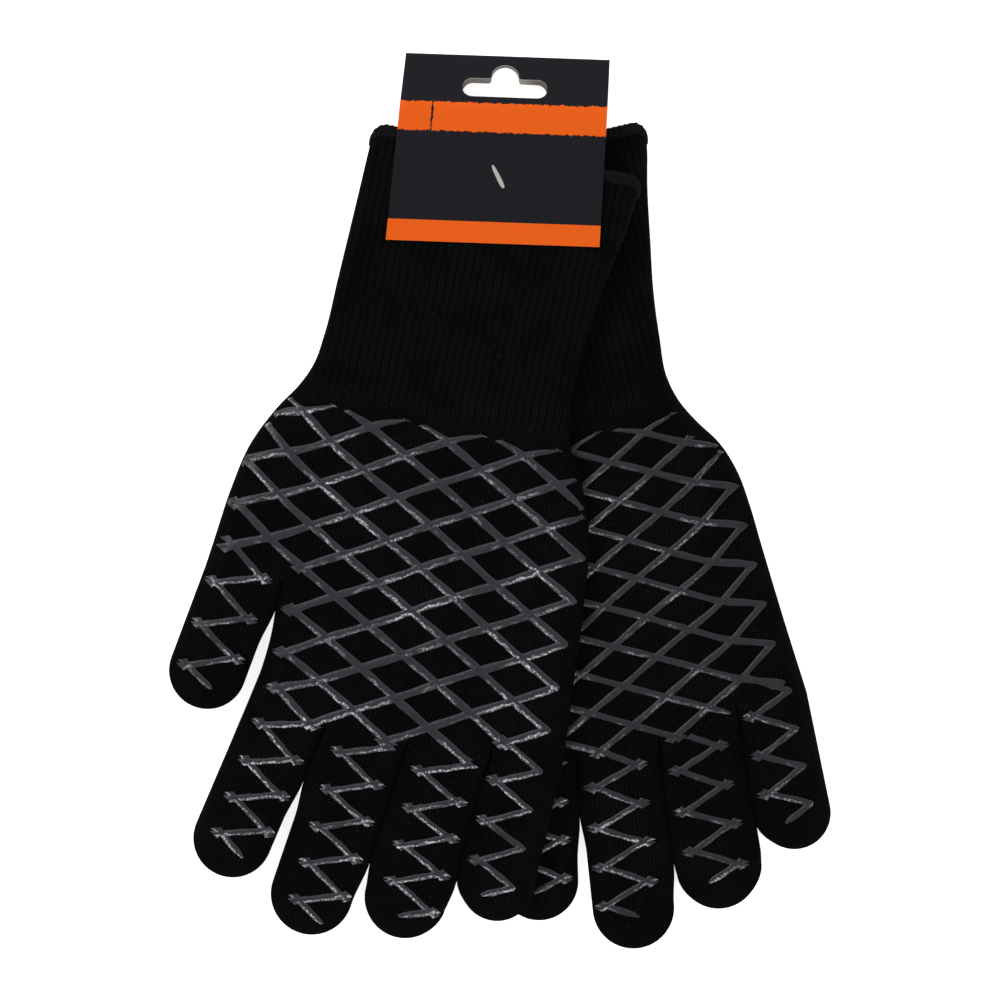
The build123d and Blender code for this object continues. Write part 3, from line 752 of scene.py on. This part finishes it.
def gripPiece(part, which, side, net, finger=None):
    # the net laid on the upper (side 1) or the under face (side -1), closed through the cloth below it
    x, depth, top, under, quads, mark = net
    if finger:
        x, depth = fingerPoint(finger, x, depth)
    outer, inner = [toWorld(which, x, depth, side * z) for z in (top, under)]
    title = f"{which}{part.capitalize()}{'Grip' if side > 0 else 'UnderGrip'}"
    return makeMesh(title, *closeSheet(outer, inner, quads if side > 0 else quads[:, ::-1], mark), sharp=60)


def uneven(kind, across, along):
    # slanting sine waves added up
    return sum(amount * np.sin(across / wide + along / long) for amount, wide, long in grip[kind])


def softLimit(x, limit, room):
    # what comes nearer than room to the limit is pressed together, so that nothing passes it
    over = np.clip(x - (limit - room), 0, None)
    return np.minimum(x, limit - room) + room * np.tanh(over / room)


def printable(x, depth, which, rising):
    # where a line of the hand's print may run
    onThumb = x < glove["palmLeft"][0][1]
    palm = np.where(depth > grip["palmFrom"], outline("palmLeft", depth) + grip["insidePalm"], -np.inf)
    left = np.where(onThumb, outline("left", depth) + grip["insideLeft"], palm)
    inside = (x > left) & (x < outline("right", depth, which) - grip["insideRight"])
    inside &= ~(onThumb & (depth > grip["thumbEnd"][0 if rising else 1]))
    inside &= depth < splitDepth(np.clip(x, *grip["splitRange"])) + grip["intoCrotch"]
    for name, spec in fingers.items():
        across, along = fingerPlace(name, x, depth)
        near = np.abs(across) < spec["half"] + grip["offFinger"]
        inside &= ~((along > min(0.0, zigzags[which][name][0])) & near)
    return inside


def handLine(rising, k, low, top, beyond, half):
    # one line's row for gripNet: the stretch that may be printed, from low to top, with its ends settled
    fadeLow, fadeTop = (1.0 if rising else grip["fadeUpper"]), 1.0
    # a short end past the last crossing becomes a barb; the reach above the top crossings stays
    if math.ceil(low) - low < grip["stub"] and k + low > grip["nearTop"]:
        low, fadeLow = math.ceil(low) - beyond, 0.0
    if top - math.floor(top) < grip["stub"]:
        top, fadeTop = math.floor(top) + beyond, 0.0
    # closed corners along the little finger's side, barbed ones along the thumb's side
    atLow, atTop = ("littleCrossing", "thumbCrossing") if rising else ("thumbCrossing", "littleCrossing")
    past = {"littleCrossing": half, "thumbCrossing": beyond}
    if low < k - grip[atLow] + grip["nearEdge"]:
        low, fadeLow = k - grip[atLow] - past[atLow], 0.0
    if top > k + grip[atTop] - grip["nearEdge"]:
        top, fadeTop = k + grip[atTop] + past[atTop], 0.0
    return k, low, top, fadeLow, fadeTop


def inCrossings(width, wide, high):
    # half a line's width, and a barb's length, as parts of the way from one crossing to the next
    run = math.hypot(wide, high)
    return width / 2 * run / (2 * wide * high), grip["beyond"] / run


def handGrip(which, side):
    spec = zigzags[which]
    wide, high = grip["halfWide"], spec["halfHigh"]
    half, beyond = inCrossings(spec["width"], wide, high)

    def toPlan(p, q):
        x = grip["crossX"] + wide * (p - q)
        depth = spec["crossDepth"] + high * (p + q)
        depth = depth - spec["creep"] * smoothStep(*grip["outerX"], x)
        depth = depth - grip["thumbCreep"] * smoothStep(*grip["thumbX"], x)
        depth = depth - (grip["indexCreep"] * smoothStep(*grip["indexX"], x)
                         * smoothStep(*grip["indexDepth"], depth))
        x = x + grip["wristDraw"] * smoothStep(*grip["wristX"], x) * (1 - smoothStep(*grip["wristDepth"], depth))
        depth = depth + uneven("unevenDepth", x, depth)
        x = x + uneven("unevenX", x, depth)
        # above their top crossings the lines bend flat
        top = spec["crossDepth"] - grip["topFlatFrom"]
        return x, np.where(depth < top, top - (top - depth) * grip["topFlat"], depth)

    def toCloth(p, q):
        # the plan place, with rounded corners, and no line past the glove's edge
        x, depth = toPlan(p, q)
        lastCrossing = grip["crossX"] + wide * grip["littleCrossing"]
        x = softLimit(x, lastCrossing + grip["closedPast"], grip["corner"])
        x = softLimit(x, outline("right", depth, which) - grip["edge"], grip["edgeRoom"])
        left = outline("left", depth) + grip["edge"]
        return np.where(depth < glove["thumbSplit"], -softLimit(-x, -left, grip["edgeRoom"]), x), depth

    tables = []
    run = np.linspace(*grip["run"], grip["runSteps"])
    for rising, reach in ((True, grip["reachUp"]), (False, grip["reachUpLeft"])):
        table = []
        for k in range(*grip["tries"]):
            p, q = (k + 0 * run, run) if rising else (run, k + 0 * run)
            ok = printable(*toPlan(p, q), which, rising) & (p + q > -reach)
            if ok.sum() < grip["leastSteps"]:
                continue
            # the longest unbroken stretch
            jumps = np.flatnonzero(np.diff(np.concatenate([[0], ok.astype(int), [0]])))
            starts, stops = jumps[::2], jumps[1::2] - 1
            best = (stops - starts).argmax()
            table.append(handLine(rising, k, run[starts[best]], run[stops[best]], beyond, half))
        tables.append(table)

    def surface(x, depth):
        # the hand's cloth, or the thumb's where its root lies beside the palm
        edge = fingers["thumb"]["half"] - grip["inThumb"]
        across, along = fingerPlace("thumb", x, depth)
        onThumb = (x < glove["palmLeft"][0][1]) & (depth > glove["thumbSplit"])
        left = outline("left", np.minimum(depth, glove["thumbSplit"])) + grip["inHand"]
        right = outline("right", depth, which) - grip["inHand"]
        return np.where(onThumb, fingerHalf("thumb", np.clip(across, -edge, edge), along, which, side),
                        handHalf(np.clip(x, left, right), depth, which, side))

    return gripPiece("hand", which, side, gripNet(*tables, 1, half, beyond, toCloth, surface))


def fingerGrip(which, name, side):
    first, high, wide, middle, drift = zigzags[which][name]
    high = high / 2
    straight = fingerLong(which, name)
    half, barb = inCrossings(grip["fingerWidth"], wide, high)
    closed = name == "little"
    corner = half if closed else barb
    strokes = int((straight + grip["intoTip"] - first) // (2 * high))
    rising, falling = [], []
    led = zigzags[which]["led"].get(name)
    if led:
        falling.append((0, -led - (barb if led == 1 else 0), 1 + corner, 0, 0))
    for n in range(strokes + 1):
        # strokes rise and fall in turn; the last one thins out halfway
        table, past, ahead = (rising, corner, barb) if n % 2 == 0 else (falling, barb, corner)
        last = n == strokes
        table.append((n + 1, n - past, n + 1.5 if last else n + 2 + ahead, 0, last))

    def toPlan(p, q):
        across = wide * (p - q)
        along = first - high + high * (p + q)
        if closed:
            across = softLimit(across, wide + grip["closedPastFinger"], grip["corner"])
        across = across + middle + drift * along / straight
        across, along = (across + uneven("unevenAcross", across, along),
                         along + uneven("unevenAlong", across, along))
        # no line passes the finger's edge
        past = np.clip(along - straight, 0, grip["tipRound"] * fingers[name]["half"])
        tip = np.sqrt(fingers[name]["half"] ** 2 - past ** 2)
        left, right = [np.where(past > 0, tip, fingerSide(name, along, onRight)) - grip["edge"]
                       for onRight in (False, True)]
        across = softLimit(across, right, grip["edgeRoom"])
        return -softLimit(-across, left, grip["edgeRoom"]), along

    def surface(across, along):
        return fingerHalf(name, across, along, which, side)

    return gripPiece(name, which, side, gripNet(rising, falling, 2, half, barb, toPlan, surface), finger=name)


for which in gloves:
    for side, suffix in ((1, "_grip"), (-1, "_under_grip")):
        finish(handGrip(which, side), silicone, "silicone", which, nodes=(f"{which}_hand{suffix}",))
        for name in fingers:
            piece = fingerGrip(which, name, side)
            finish(piece, silicone, "silicone", which, name, nodes=(f"{which}_{name}{suffix}",))
print("grip prints made")

hem = {
    # the band's own section as (inset, depth): up the outer face, over the rim, down inside, back through
    "section": [(-0.05, 4.3), (-0.26, 3.8), (-0.34, 2.6), (-0.34, 1.3), (-0.05, 0.35), (0.75, -0.15), (1.6, 0.2),
                (2.45, 1.2), (2.5, 2.8), (2.3, 4.0), (1.7, 4.5), (0.7, 4.55)],
    "columns": 96, "stitches": 104, "steps": 14, "thread": 0.24, "threadSides": 6, "proud": 0.12,
}


def hemNet(which, proud=0.0):
    # the section carried round the mouth of the cuff; both ways of the net close
    section = np.array(hem["section"])
    middle = section.mean(axis=0)
    section = section + proud * unit(section - middle)
    inset, down = section[:, :1], section[:, 1:]
    share = crowded(hem["columns"])
    left, right, _, _ = handSides(np.clip(down, 0, None), which)
    depth = down + cornerDrop(np.minimum(share, 1 - share) * (right - left))
    left, right, _, _ = handSides(np.clip(depth, 0, None), which)
    x = left + inset + (right - left - 2 * inset) * share
    rings = []
    for side in (1, -1):
        half = handHalf(x, np.clip(depth, 0, None), which, side, inset)
        half[:, [0, -1]] = 0
        rings.append(toWorld(which, x, depth, side * half))
    return ringOf(*rings)


def tubeAlong(path, outward, radius, sides):
    # a round thread along a closed path: a circle on two directions square to the path at each point, the first
    # of them as near to outward as it can be
    ahead = unit(np.roll(path, -1, axis=0) - np.roll(path, 1, axis=0))
    normal = unit(outward - (outward * ahead).sum(axis=1)[:, None] * ahead)
    beside = np.cross(ahead, normal)
    turn = around(sides)[:, None]
    rings = path[:, None] + radius * (np.cos(turn) * normal[:, None] + np.sin(turn) * beside[:, None])
    return rings, hoopQuads(netIds(rings))


def threadPath(which):
    # the overlock thread's winding round the band, and its rough outward direction: a place on the hem's net that
    # goes round the section once a stitch and along the ring once in all, between the net's four nearest points
    table = hemNet(which, hem["proud"])
    rows, columns = table.shape[:2]
    along = np.arange(hem["stitches"] * hem["steps"]) / (hem["stitches"] * hem["steps"])
    winding = along * hem["stitches"] * rows
    # the ring's columns crowd at the sides, so the thread is spaced by length, not by column
    centre = table.mean(axis=0)
    length = np.concatenate([[0], np.cumsum(np.linalg.norm(np.roll(centre, -1, axis=0) - centre, axis=1))])
    place = np.interp(along * length[-1], length, np.arange(columns + 1))
    i, j = np.floor(winding).astype(int), np.floor(place).astype(int)
    fi, fj = (winding - i)[:, None], (place - j)[:, None]
    here, there = [(1 - fj) * table[row % rows, j % columns] + fj * table[row % rows, (j + 1) % columns]
                   for row in (i, i + 1)]
    path = (1 - fi) * here + fi * there
    return path, path - (centre[j % columns] * (1 - fj) + centre[(j + 1) % columns] * fj)


for which in gloves:
    net = hemNet(which)
    piece = makeMesh(which + "CuffHem", net, hoopQuads(netIds(net)))
    finish(piece, overlock, "hem", which, nodes=(which + "_cuff_hem",))
    piece = makeMesh(which + "HemThread", *tubeAlong(*threadPath(which), hem["thread"], hem["threadSides"]))
    finish(piece, overlock, "hem", which)
print("hems made")

card = {
    "turn": -2.0, "lean": 0.046, "thick": 0.4, "topHalf": 39.4, "bottomHalf": 41.1,
    "fold": 48.4, "flatTo": 26.5, "free": -25.7,    # how far above the tag pin the fold, bends and free edge lie
    "bendRadius": 4.0, "foldRadius": 1.0, "foldHeight": 9.0, "lift": 0.55, "liftFrom": 6,
    "columns": 44, "step": 1.3, "arcStep": 0.4,
    "slotHalf": 16.3, "slotHigh": 4.35, "slotEnd": 3.9, "slotFromFold": 17.0, "bumpHalf": 5.3, "bumpRise": 4.3,
    "shoulder": 1.2, "slotCut": 2.0, "pinHole": 0.9, "pinCut": (-6.0, 30.0),    # a cut's reach from its plane
    # ink: the upper band's two edges and the lower band's top, the scratch, and how far wear shifts an edge
    "upperBand": (16.9, 28.2), "lowerBand": -17.5, "scratch": (-27.6, -26.9), "wear": 3.2, "scratchWear": 0.8,
    "charcoal": ("#0f0e13", "#19181d"), "orange": ("#cb4e09", "#d85a12"), "pulp": ("#8f8780", "#d6d0c8"),
}
low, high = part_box("header_card")
cardLow, cardHigh = low.z / mm + card["thick"] / 2, high.z / mm - card["thick"] / 2


def roundedPath(corners, radii, step):
    # straight runs with round corners, as points about a step apart
    corners = [np.array(c, float) for c in corners]
    run, start = [], corners[0]
    for i, radius in enumerate(radii, 1):
        before, after = corners[i] - corners[i - 1], corners[i + 1] - corners[i]
        a, b = before / np.linalg.norm(before), after / np.linalg.norm(after)
        bend = math.acos(np.clip(a @ b, -1, 1))
        cut = radius * math.tan(bend / 2)
        enter = corners[i] - a * cut
        n = max(2, int(np.linalg.norm(enter - start) / step))
        run.append(start + (enter - start) * np.linspace(0, 1, n, endpoint=False)[:, None])
        side = np.sign(a[0] * b[1] - a[1] * b[0])
        centre = enter + side * radius * np.array([-a[1], a[0]])
        turn = side * np.linspace(0, bend, max(6, int(bend * radius / card["arcStep"])), endpoint=False)
        arm = enter - centre
        run.append(centre + np.stack([arm[0] * np.cos(turn) - arm[1] * np.sin(turn),
                                      arm[0] * np.sin(turn) + arm[1] * np.cos(turn)], axis=1))
        start = corners[i] + b * cut
    n = max(2, int(np.linalg.norm(corners[-1] - start) / step))
    run.append(start + (corners[-1] - start) * np.linspace(0, 1, n)[:, None])
    return np.vstack(run)


def onCard(x, y, z):
    # card frame to the shared frame
    return aboutPin(x, y, z, card["turn"])


def cardSheet():
    # the folded card: its side view carried across, with both free corners curling up a little
    path = roundedPath([(card["free"], cardHigh), (card["flatTo"], cardHigh), (card["fold"], card["foldHeight"]),
                        (card["flatTo"], cardLow), (card["free"], cardLow)],
                       (card["bendRadius"], card["foldRadius"], card["bendRadius"]), card["step"])
    ahead = unit(np.gradient(path, axis=0))
    normal = np.stack([-ahead[:, 1], ahead[:, 0]], axis=1)
    share = np.linspace(-1, 1, card["columns"] + 1)
    # the front panel is the first half of the path
    front = smoothStep(-4, 4, len(path) / 2 - np.arange(len(path))[:, None])
    nets, places = [], []
    for offset in (card["thick"] / 2, -card["thick"] / 2):
        y, z = np.split(path + normal * offset, 2, axis=1)
        fromFree = (y - card["free"]) / (card["fold"] - card["free"])
        x = (card["bottomHalf"] + (card["topHalf"] - card["bottomHalf"]) * fromFree) * share
        curl = card["lift"] * smoothStep(card["liftFrom"], card["free"], y) * np.abs(share) ** 1.5 * front
        y = y + 0 * share
        nets.append(onCard(x + card["lean"] * y, y, z + curl))
        places.append(np.stack([x, y], axis=-1))
    quads = sheetQuads(netIds(nets[0])).reshape(-1, 4)
    points, allQuads, uv = closeSheet(*nets, quads, places[0])
    parts = np.ones(len(allQuads), int)
    parts[:len(quads)] = 0      # ink outside, bare board on all the rest
    return makeMesh("headerCard", points, allQuads, uv, parts, sharp=40)


def arc(x, y, radius, start, stop, steps=9):
    # points on a circle about (x, y), from one angle to another
    turn = np.radians(np.linspace(start, stop, steps))
    return np.stack([x + radius * np.cos(turn), y + radius * np.sin(turn)], axis=1)


def slotOutline():
    # a round-ended bar with a round bump on the fold's side, counterclockwise
    w, h, r, b = card["slotHalf"], card["slotHigh"], card["slotEnd"], card["bumpHalf"]
    top, s = h + card["bumpRise"] - b, card["shoulder"]
    return np.vstack([arc(w - r, -h + r, r, -90, 0), arc(w - r, h - r, r, 0, 90),
                      arc(b + s, h + s, s, 270, 180, 5), arc(0, max(top, h + s), b, 0, 180, 17),
                      arc(-b - s, h + s, s, 0, -90, 5), arc(-w + r, h - r, r, 90, 180),
                      arc(-w + r, -h + r, r, 180, 270)])


def prism(name, edge, place, top, bottom):
    # a closed edge pushed through along its own normal, as a cutter
    n = len(edge)
    points = np.vstack([place(edge, top), place(edge, bottom)])
    ring = np.arange(n)
    sides = np.stack([ring, np.roll(ring, -1), np.roll(ring, -1) + n, ring + n], axis=1)[:, ::-1]
    mesh = bpy.data.meshes.new(name)
    mesh.from_pydata((points * mm).tolist(), [], [ring.tolist(), (ring[::-1] + n).tolist()] + sides.tolist())
    for _ in range(2):
        mesh.materials.append(None)
    mesh.polygons.foreach_set("material_index", np.ones(len(mesh.polygons), np.int32))     # a cut shows bare board
    return addObject(name, mesh)


def cutAway(piece, cutters):
    # the piece without the cutters, which are then removed
    for cutter in cutters:
        cut = piece.modifiers.new("cut", "BOOLEAN")
        cut.operation, cut.solver, cut.object = "DIFFERENCE", "EXACT", cutter
    mesh = bpy.data.meshes.new_from_object(piece.evaluated_get(bpy.context.evaluated_depsgraph_get()))
    piece.modifiers.clear()
    piece.data = mesh
    for cutter in cutters:
        bpy.data.objects.remove(cutter)
    mesh.set_sharp_from_angle(angle=math.radians(40))


def cardMaterial():
    # Coated card, printed charcoal with two worn orange bands: matt ink, with the band edges eaten by
    # specks as from a coarse stamp.
    material, add = newMaterial("PrintedCard")
    place = add("UVMap", uv_map="weave")
    split = add("SeparateXYZ", [place])
    x, y = split.outputs[0], split.outputs[1]
    rough = add("TexNoise", {"Vector": place, "Scale": 0.55, "Detail": 6.0, "Roughness": 0.75})
    away = add("Math", [add("Math", [rough, 0.5], operation="SUBTRACT"), card["wear"]], operation="MULTIPLY")

    def between(value, low, high):
        # 1 between two limits, 0 outside them
        above = add("Math", [value, low], operation="GREATER_THAN")
        return add("Math", [above, add("Math", [value, high], operation="LESS_THAN")], operation="MULTIPLY")

    scratchAway = add("Math", [away, card["scratchWear"]], operation="MULTIPLY")
    scratch = between(add("Math", [x, scratchAway], operation="ADD"), *card["scratch"])
    upper = between(add("Math", [y, away], operation="ADD"), *card["upperBand"])
    upper = add("Math", [upper, add("Math", [1.0, scratch], operation="SUBTRACT")], operation="MULTIPLY")
    lower = add("Math", [y, card["lowerBand"]], operation="LESS_THAN")
    band = add("Math", [upper, lower], operation="MAXIMUM")
    fine = add("TexNoise", {"Vector": place, "Scale": 2.2, "Detail": 3.0})
    dark, warm = [add("Mix", {0: fine, 6: deep, 7: light}, data_type="RGBA")
                  for deep, light in (card["charcoal"], card["orange"])]
    colour = add("Mix", {0: band, 6: dark, 7: warm}, data_type="RGBA")
    bump = add("Bump", {"Height": fine, "Strength": 0.15, "Distance": 0.1 * mm})
    add("OutputMaterial", [add("BsdfPrincipled", {"Base Color": colour, "Normal": bump, "Roughness": 0.62,
                                                  "Specular IOR Level": 0.08})])
    return material


def slotPlace(high):
    # places on the slot's plane, which is the panel that slopes from its bend to the fold
    slope = math.atan2(card["foldHeight"] - high, card["fold"] + card["thick"] - card["flatTo"])

    def place(edge, off):
        run = edge[:, 1] - card["slotFromFold"]
        y = card["fold"] + card["thick"] + run * math.cos(slope) - off * math.sin(slope)
        x = edge[:, 0] + card["lean"] * (card["fold"] - card["slotFromFold"])
        return onCard(x, y, card["foldHeight"] + run * math.sin(slope) + off * math.cos(slope))

    return place


def flatPlace(edge, height):
    # places at one height above the table
    return onCard(edge[:, 0], edge[:, 1], height)


headerCard = cardSheet()
headerCard.data.materials.append(cardMaterial())
# bare pulp board inside and on the cut edges: warm grey and fibrous
headerCard.data.materials.append(grainMaterial("BarePulpBoard", *card["pulp"], 1400.0, 0.9, specular=0.1, depth=0))
slotCuts = [prism("slotCut", slotOutline(), slotPlace(panel), card["slotCut"], -card["slotCut"])
            for panel in (cardHigh, cardLow)]
pinEdge = arc(0, 0, card["pinHole"], 0, 345, 24)
cutAway(headerCard, slotCuts + [prism("pinCut", pinEdge, flatPlace, card["pinCut"][1], card["pinCut"][0])])
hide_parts("header_card")
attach(headerCard, "header")

tag = {
    "halfLong": 5.0, "halfWide": 0.85, "halfThick": 0.34, "taper": 0.16, "turn": 26.0, "inset": 0.01,
    "filament": 0.42, "waist": 0.8, "flare": 0.35, "colour": "#b4b3ae",
    "barRows": 25, "barColumns": 16, "stemRows": 21, "stemColumns": 14,
}
low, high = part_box("tag_pin")


def poleIds(net):
    # point numbers of a net whose first and last rows each fall together in one point
    ids = netIds(net)
    ids[0], ids[-1] = ids[0, 0], ids[-1, 0]
    return ids


def tagBar(turn, z):
    # a flat bar with round ends: width and thickness shrink together towards both tips
    along = -np.cos(np.linspace(0, np.pi, tag["barRows"]))[:, None]
    size = (1 - along ** 4) ** 0.5 * (1 - tag["taper"] * along)
    angle = around(tag["barColumns"])
    x = tag["halfWide"] * size * np.cos(angle)
    points = aboutPin(x, tag["halfLong"] * along + 0 * x, z + tag["halfThick"] * size * np.sin(angle), turn)
    return points.reshape(-1, 3), ringQuads(poleIds(points))


def tagFilament(bottom, top):
    # a thin round stem, waisted in the middle and flared into both bars
    share = np.linspace(-1, 1, tag["stemRows"])
    radius = tag["filament"] * (tag["waist"] + tag["flare"] * np.abs(share) ** 6)
    radius = np.concatenate([[0], radius, [0]])[:, None]
    z = np.concatenate([[bottom], bottom + (top - bottom) * (share + 1) / 2, [top]])[:, None]
    angle = around(tag["stemColumns"])
    points = aboutPin(radius * np.cos(angle), radius * np.sin(angle), z, 0)
    return points.reshape(-1, 3), ringQuads(poleIds(points))[:, ::-1]


def nylonMaterial():
    # Moulded clear nylon: milky, half see-through, with soft highlights.
    material, add = newMaterial("ClearNylon")
    haze = add("TexNoise", {"Vector": add("TexCoord").outputs["Object"], "Scale": 500.0})
    bump = add("Bump", {"Height": haze, "Strength": 0.2, "Distance": 0.1 * mm})
    add("OutputMaterial", [add("BsdfPrincipled", {
        "Base Color": tag["colour"], "Normal": bump, "Roughness": 0.32, "IOR": 1.53, "Transmission Weight": 0.25,
        "Subsurface Weight": 0.15, "Subsurface Scale": 0.6 * mm})])
    return material


barHigh, barLow = high.z / mm - tag["halfThick"] - tag["inset"], low.z / mm + tag["halfThick"] + tag["inset"]
points, faces, start = [], [], 0
for part in (tagBar(tag["turn"], barHigh), tagFilament(barLow, barHigh), tagBar(0, barLow)):
    points.append(part[0])
    faces.append(part[1] + start)
    start += len(part[0])
tagPin = makeMesh("tagPin", np.vstack(points), np.vstack(faces))
tagPin.data.materials.append(nylonMaterial())
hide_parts("tag_pin")
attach(tagPin, "header")
print("card and pin made")

stage = {
    "floorHalf": 3.0, "floor": "#f6f6f6", "floorGlow": 0.75, "skyGlow": 0.75,
    # how much is seen across at the height called level, the camera's distance from there, and the view's centre
    # from the tag pin
    "span": 0.386, "distance": 2.4, "level": 0.012, "fromPin": (0.00077, -0.12423), "sensor": 36,
    "lights": {"keySoftbox": ((-0.9, 0.9, 1.5), 0.9, 18), "fillSoftbox": ((1.2, -0.6, 1.4), 1.2, 6)},
}


def acrylicMaterial():
    # A white acrylic light table, lit from below, so no shadow darkens it.
    material, add = newMaterial("LitWhiteAcrylic")
    add("OutputMaterial", [add("BsdfPrincipled", {
        "Base Color": stage["floor"], "Roughness": 0.9, "Specular IOR Level": 0.1,
        "Emission Color": (1, 1, 1, 1), "Emission Strength": stage["floorGlow"]})])
    return material


h = stage["floorHalf"]
floorMesh = bpy.data.meshes.new("floor")
floorMesh.from_pydata([(-h, -h, 0), (h, -h, 0), (h, h, 0), (-h, h, 0)], [], [(0, 1, 2, 3)])
floorMesh.materials.append(acrylicMaterial())
addObject("floor", floorMesh)

for name, (place, size, power) in stage["lights"].items():
    lamp = bpy.data.lights.new(name, "AREA")
    lamp.shape, lamp.size, lamp.energy = "DISK", size, power
    # a softbox looks at the middle of the table
    addObject(name, lamp, place).rotation_euler = (-Vector(place)).to_track_quat("-Z", "Y").to_euler()
world = bpy.data.worlds.new("studio")
world.use_nodes = True
world.node_tree.nodes["Background"].inputs[0].default_value = (1, 1, 1, 1)
world.node_tree.nodes["Background"].inputs[1].default_value = stage["skyGlow"]
bpy.context.scene.world = world
bpy.context.scene.view_settings.view_transform = "Standard"

centre = [pin * mm + away for pin, away in zip(pinPlace, stage["fromPin"])]
camera = addObject("camera", bpy.data.cameras.new("camera"), (*centre, stage["distance"] + stage["level"]))
camera.data.sensor_width = stage["sensor"]
camera.data.lens = stage["sensor"] * stage["distance"] / stage["span"]
camera.data.clip_start, camera.data.clip_end = 0.1, 20
bpy.context.scene.camera = camera
print("stage made")
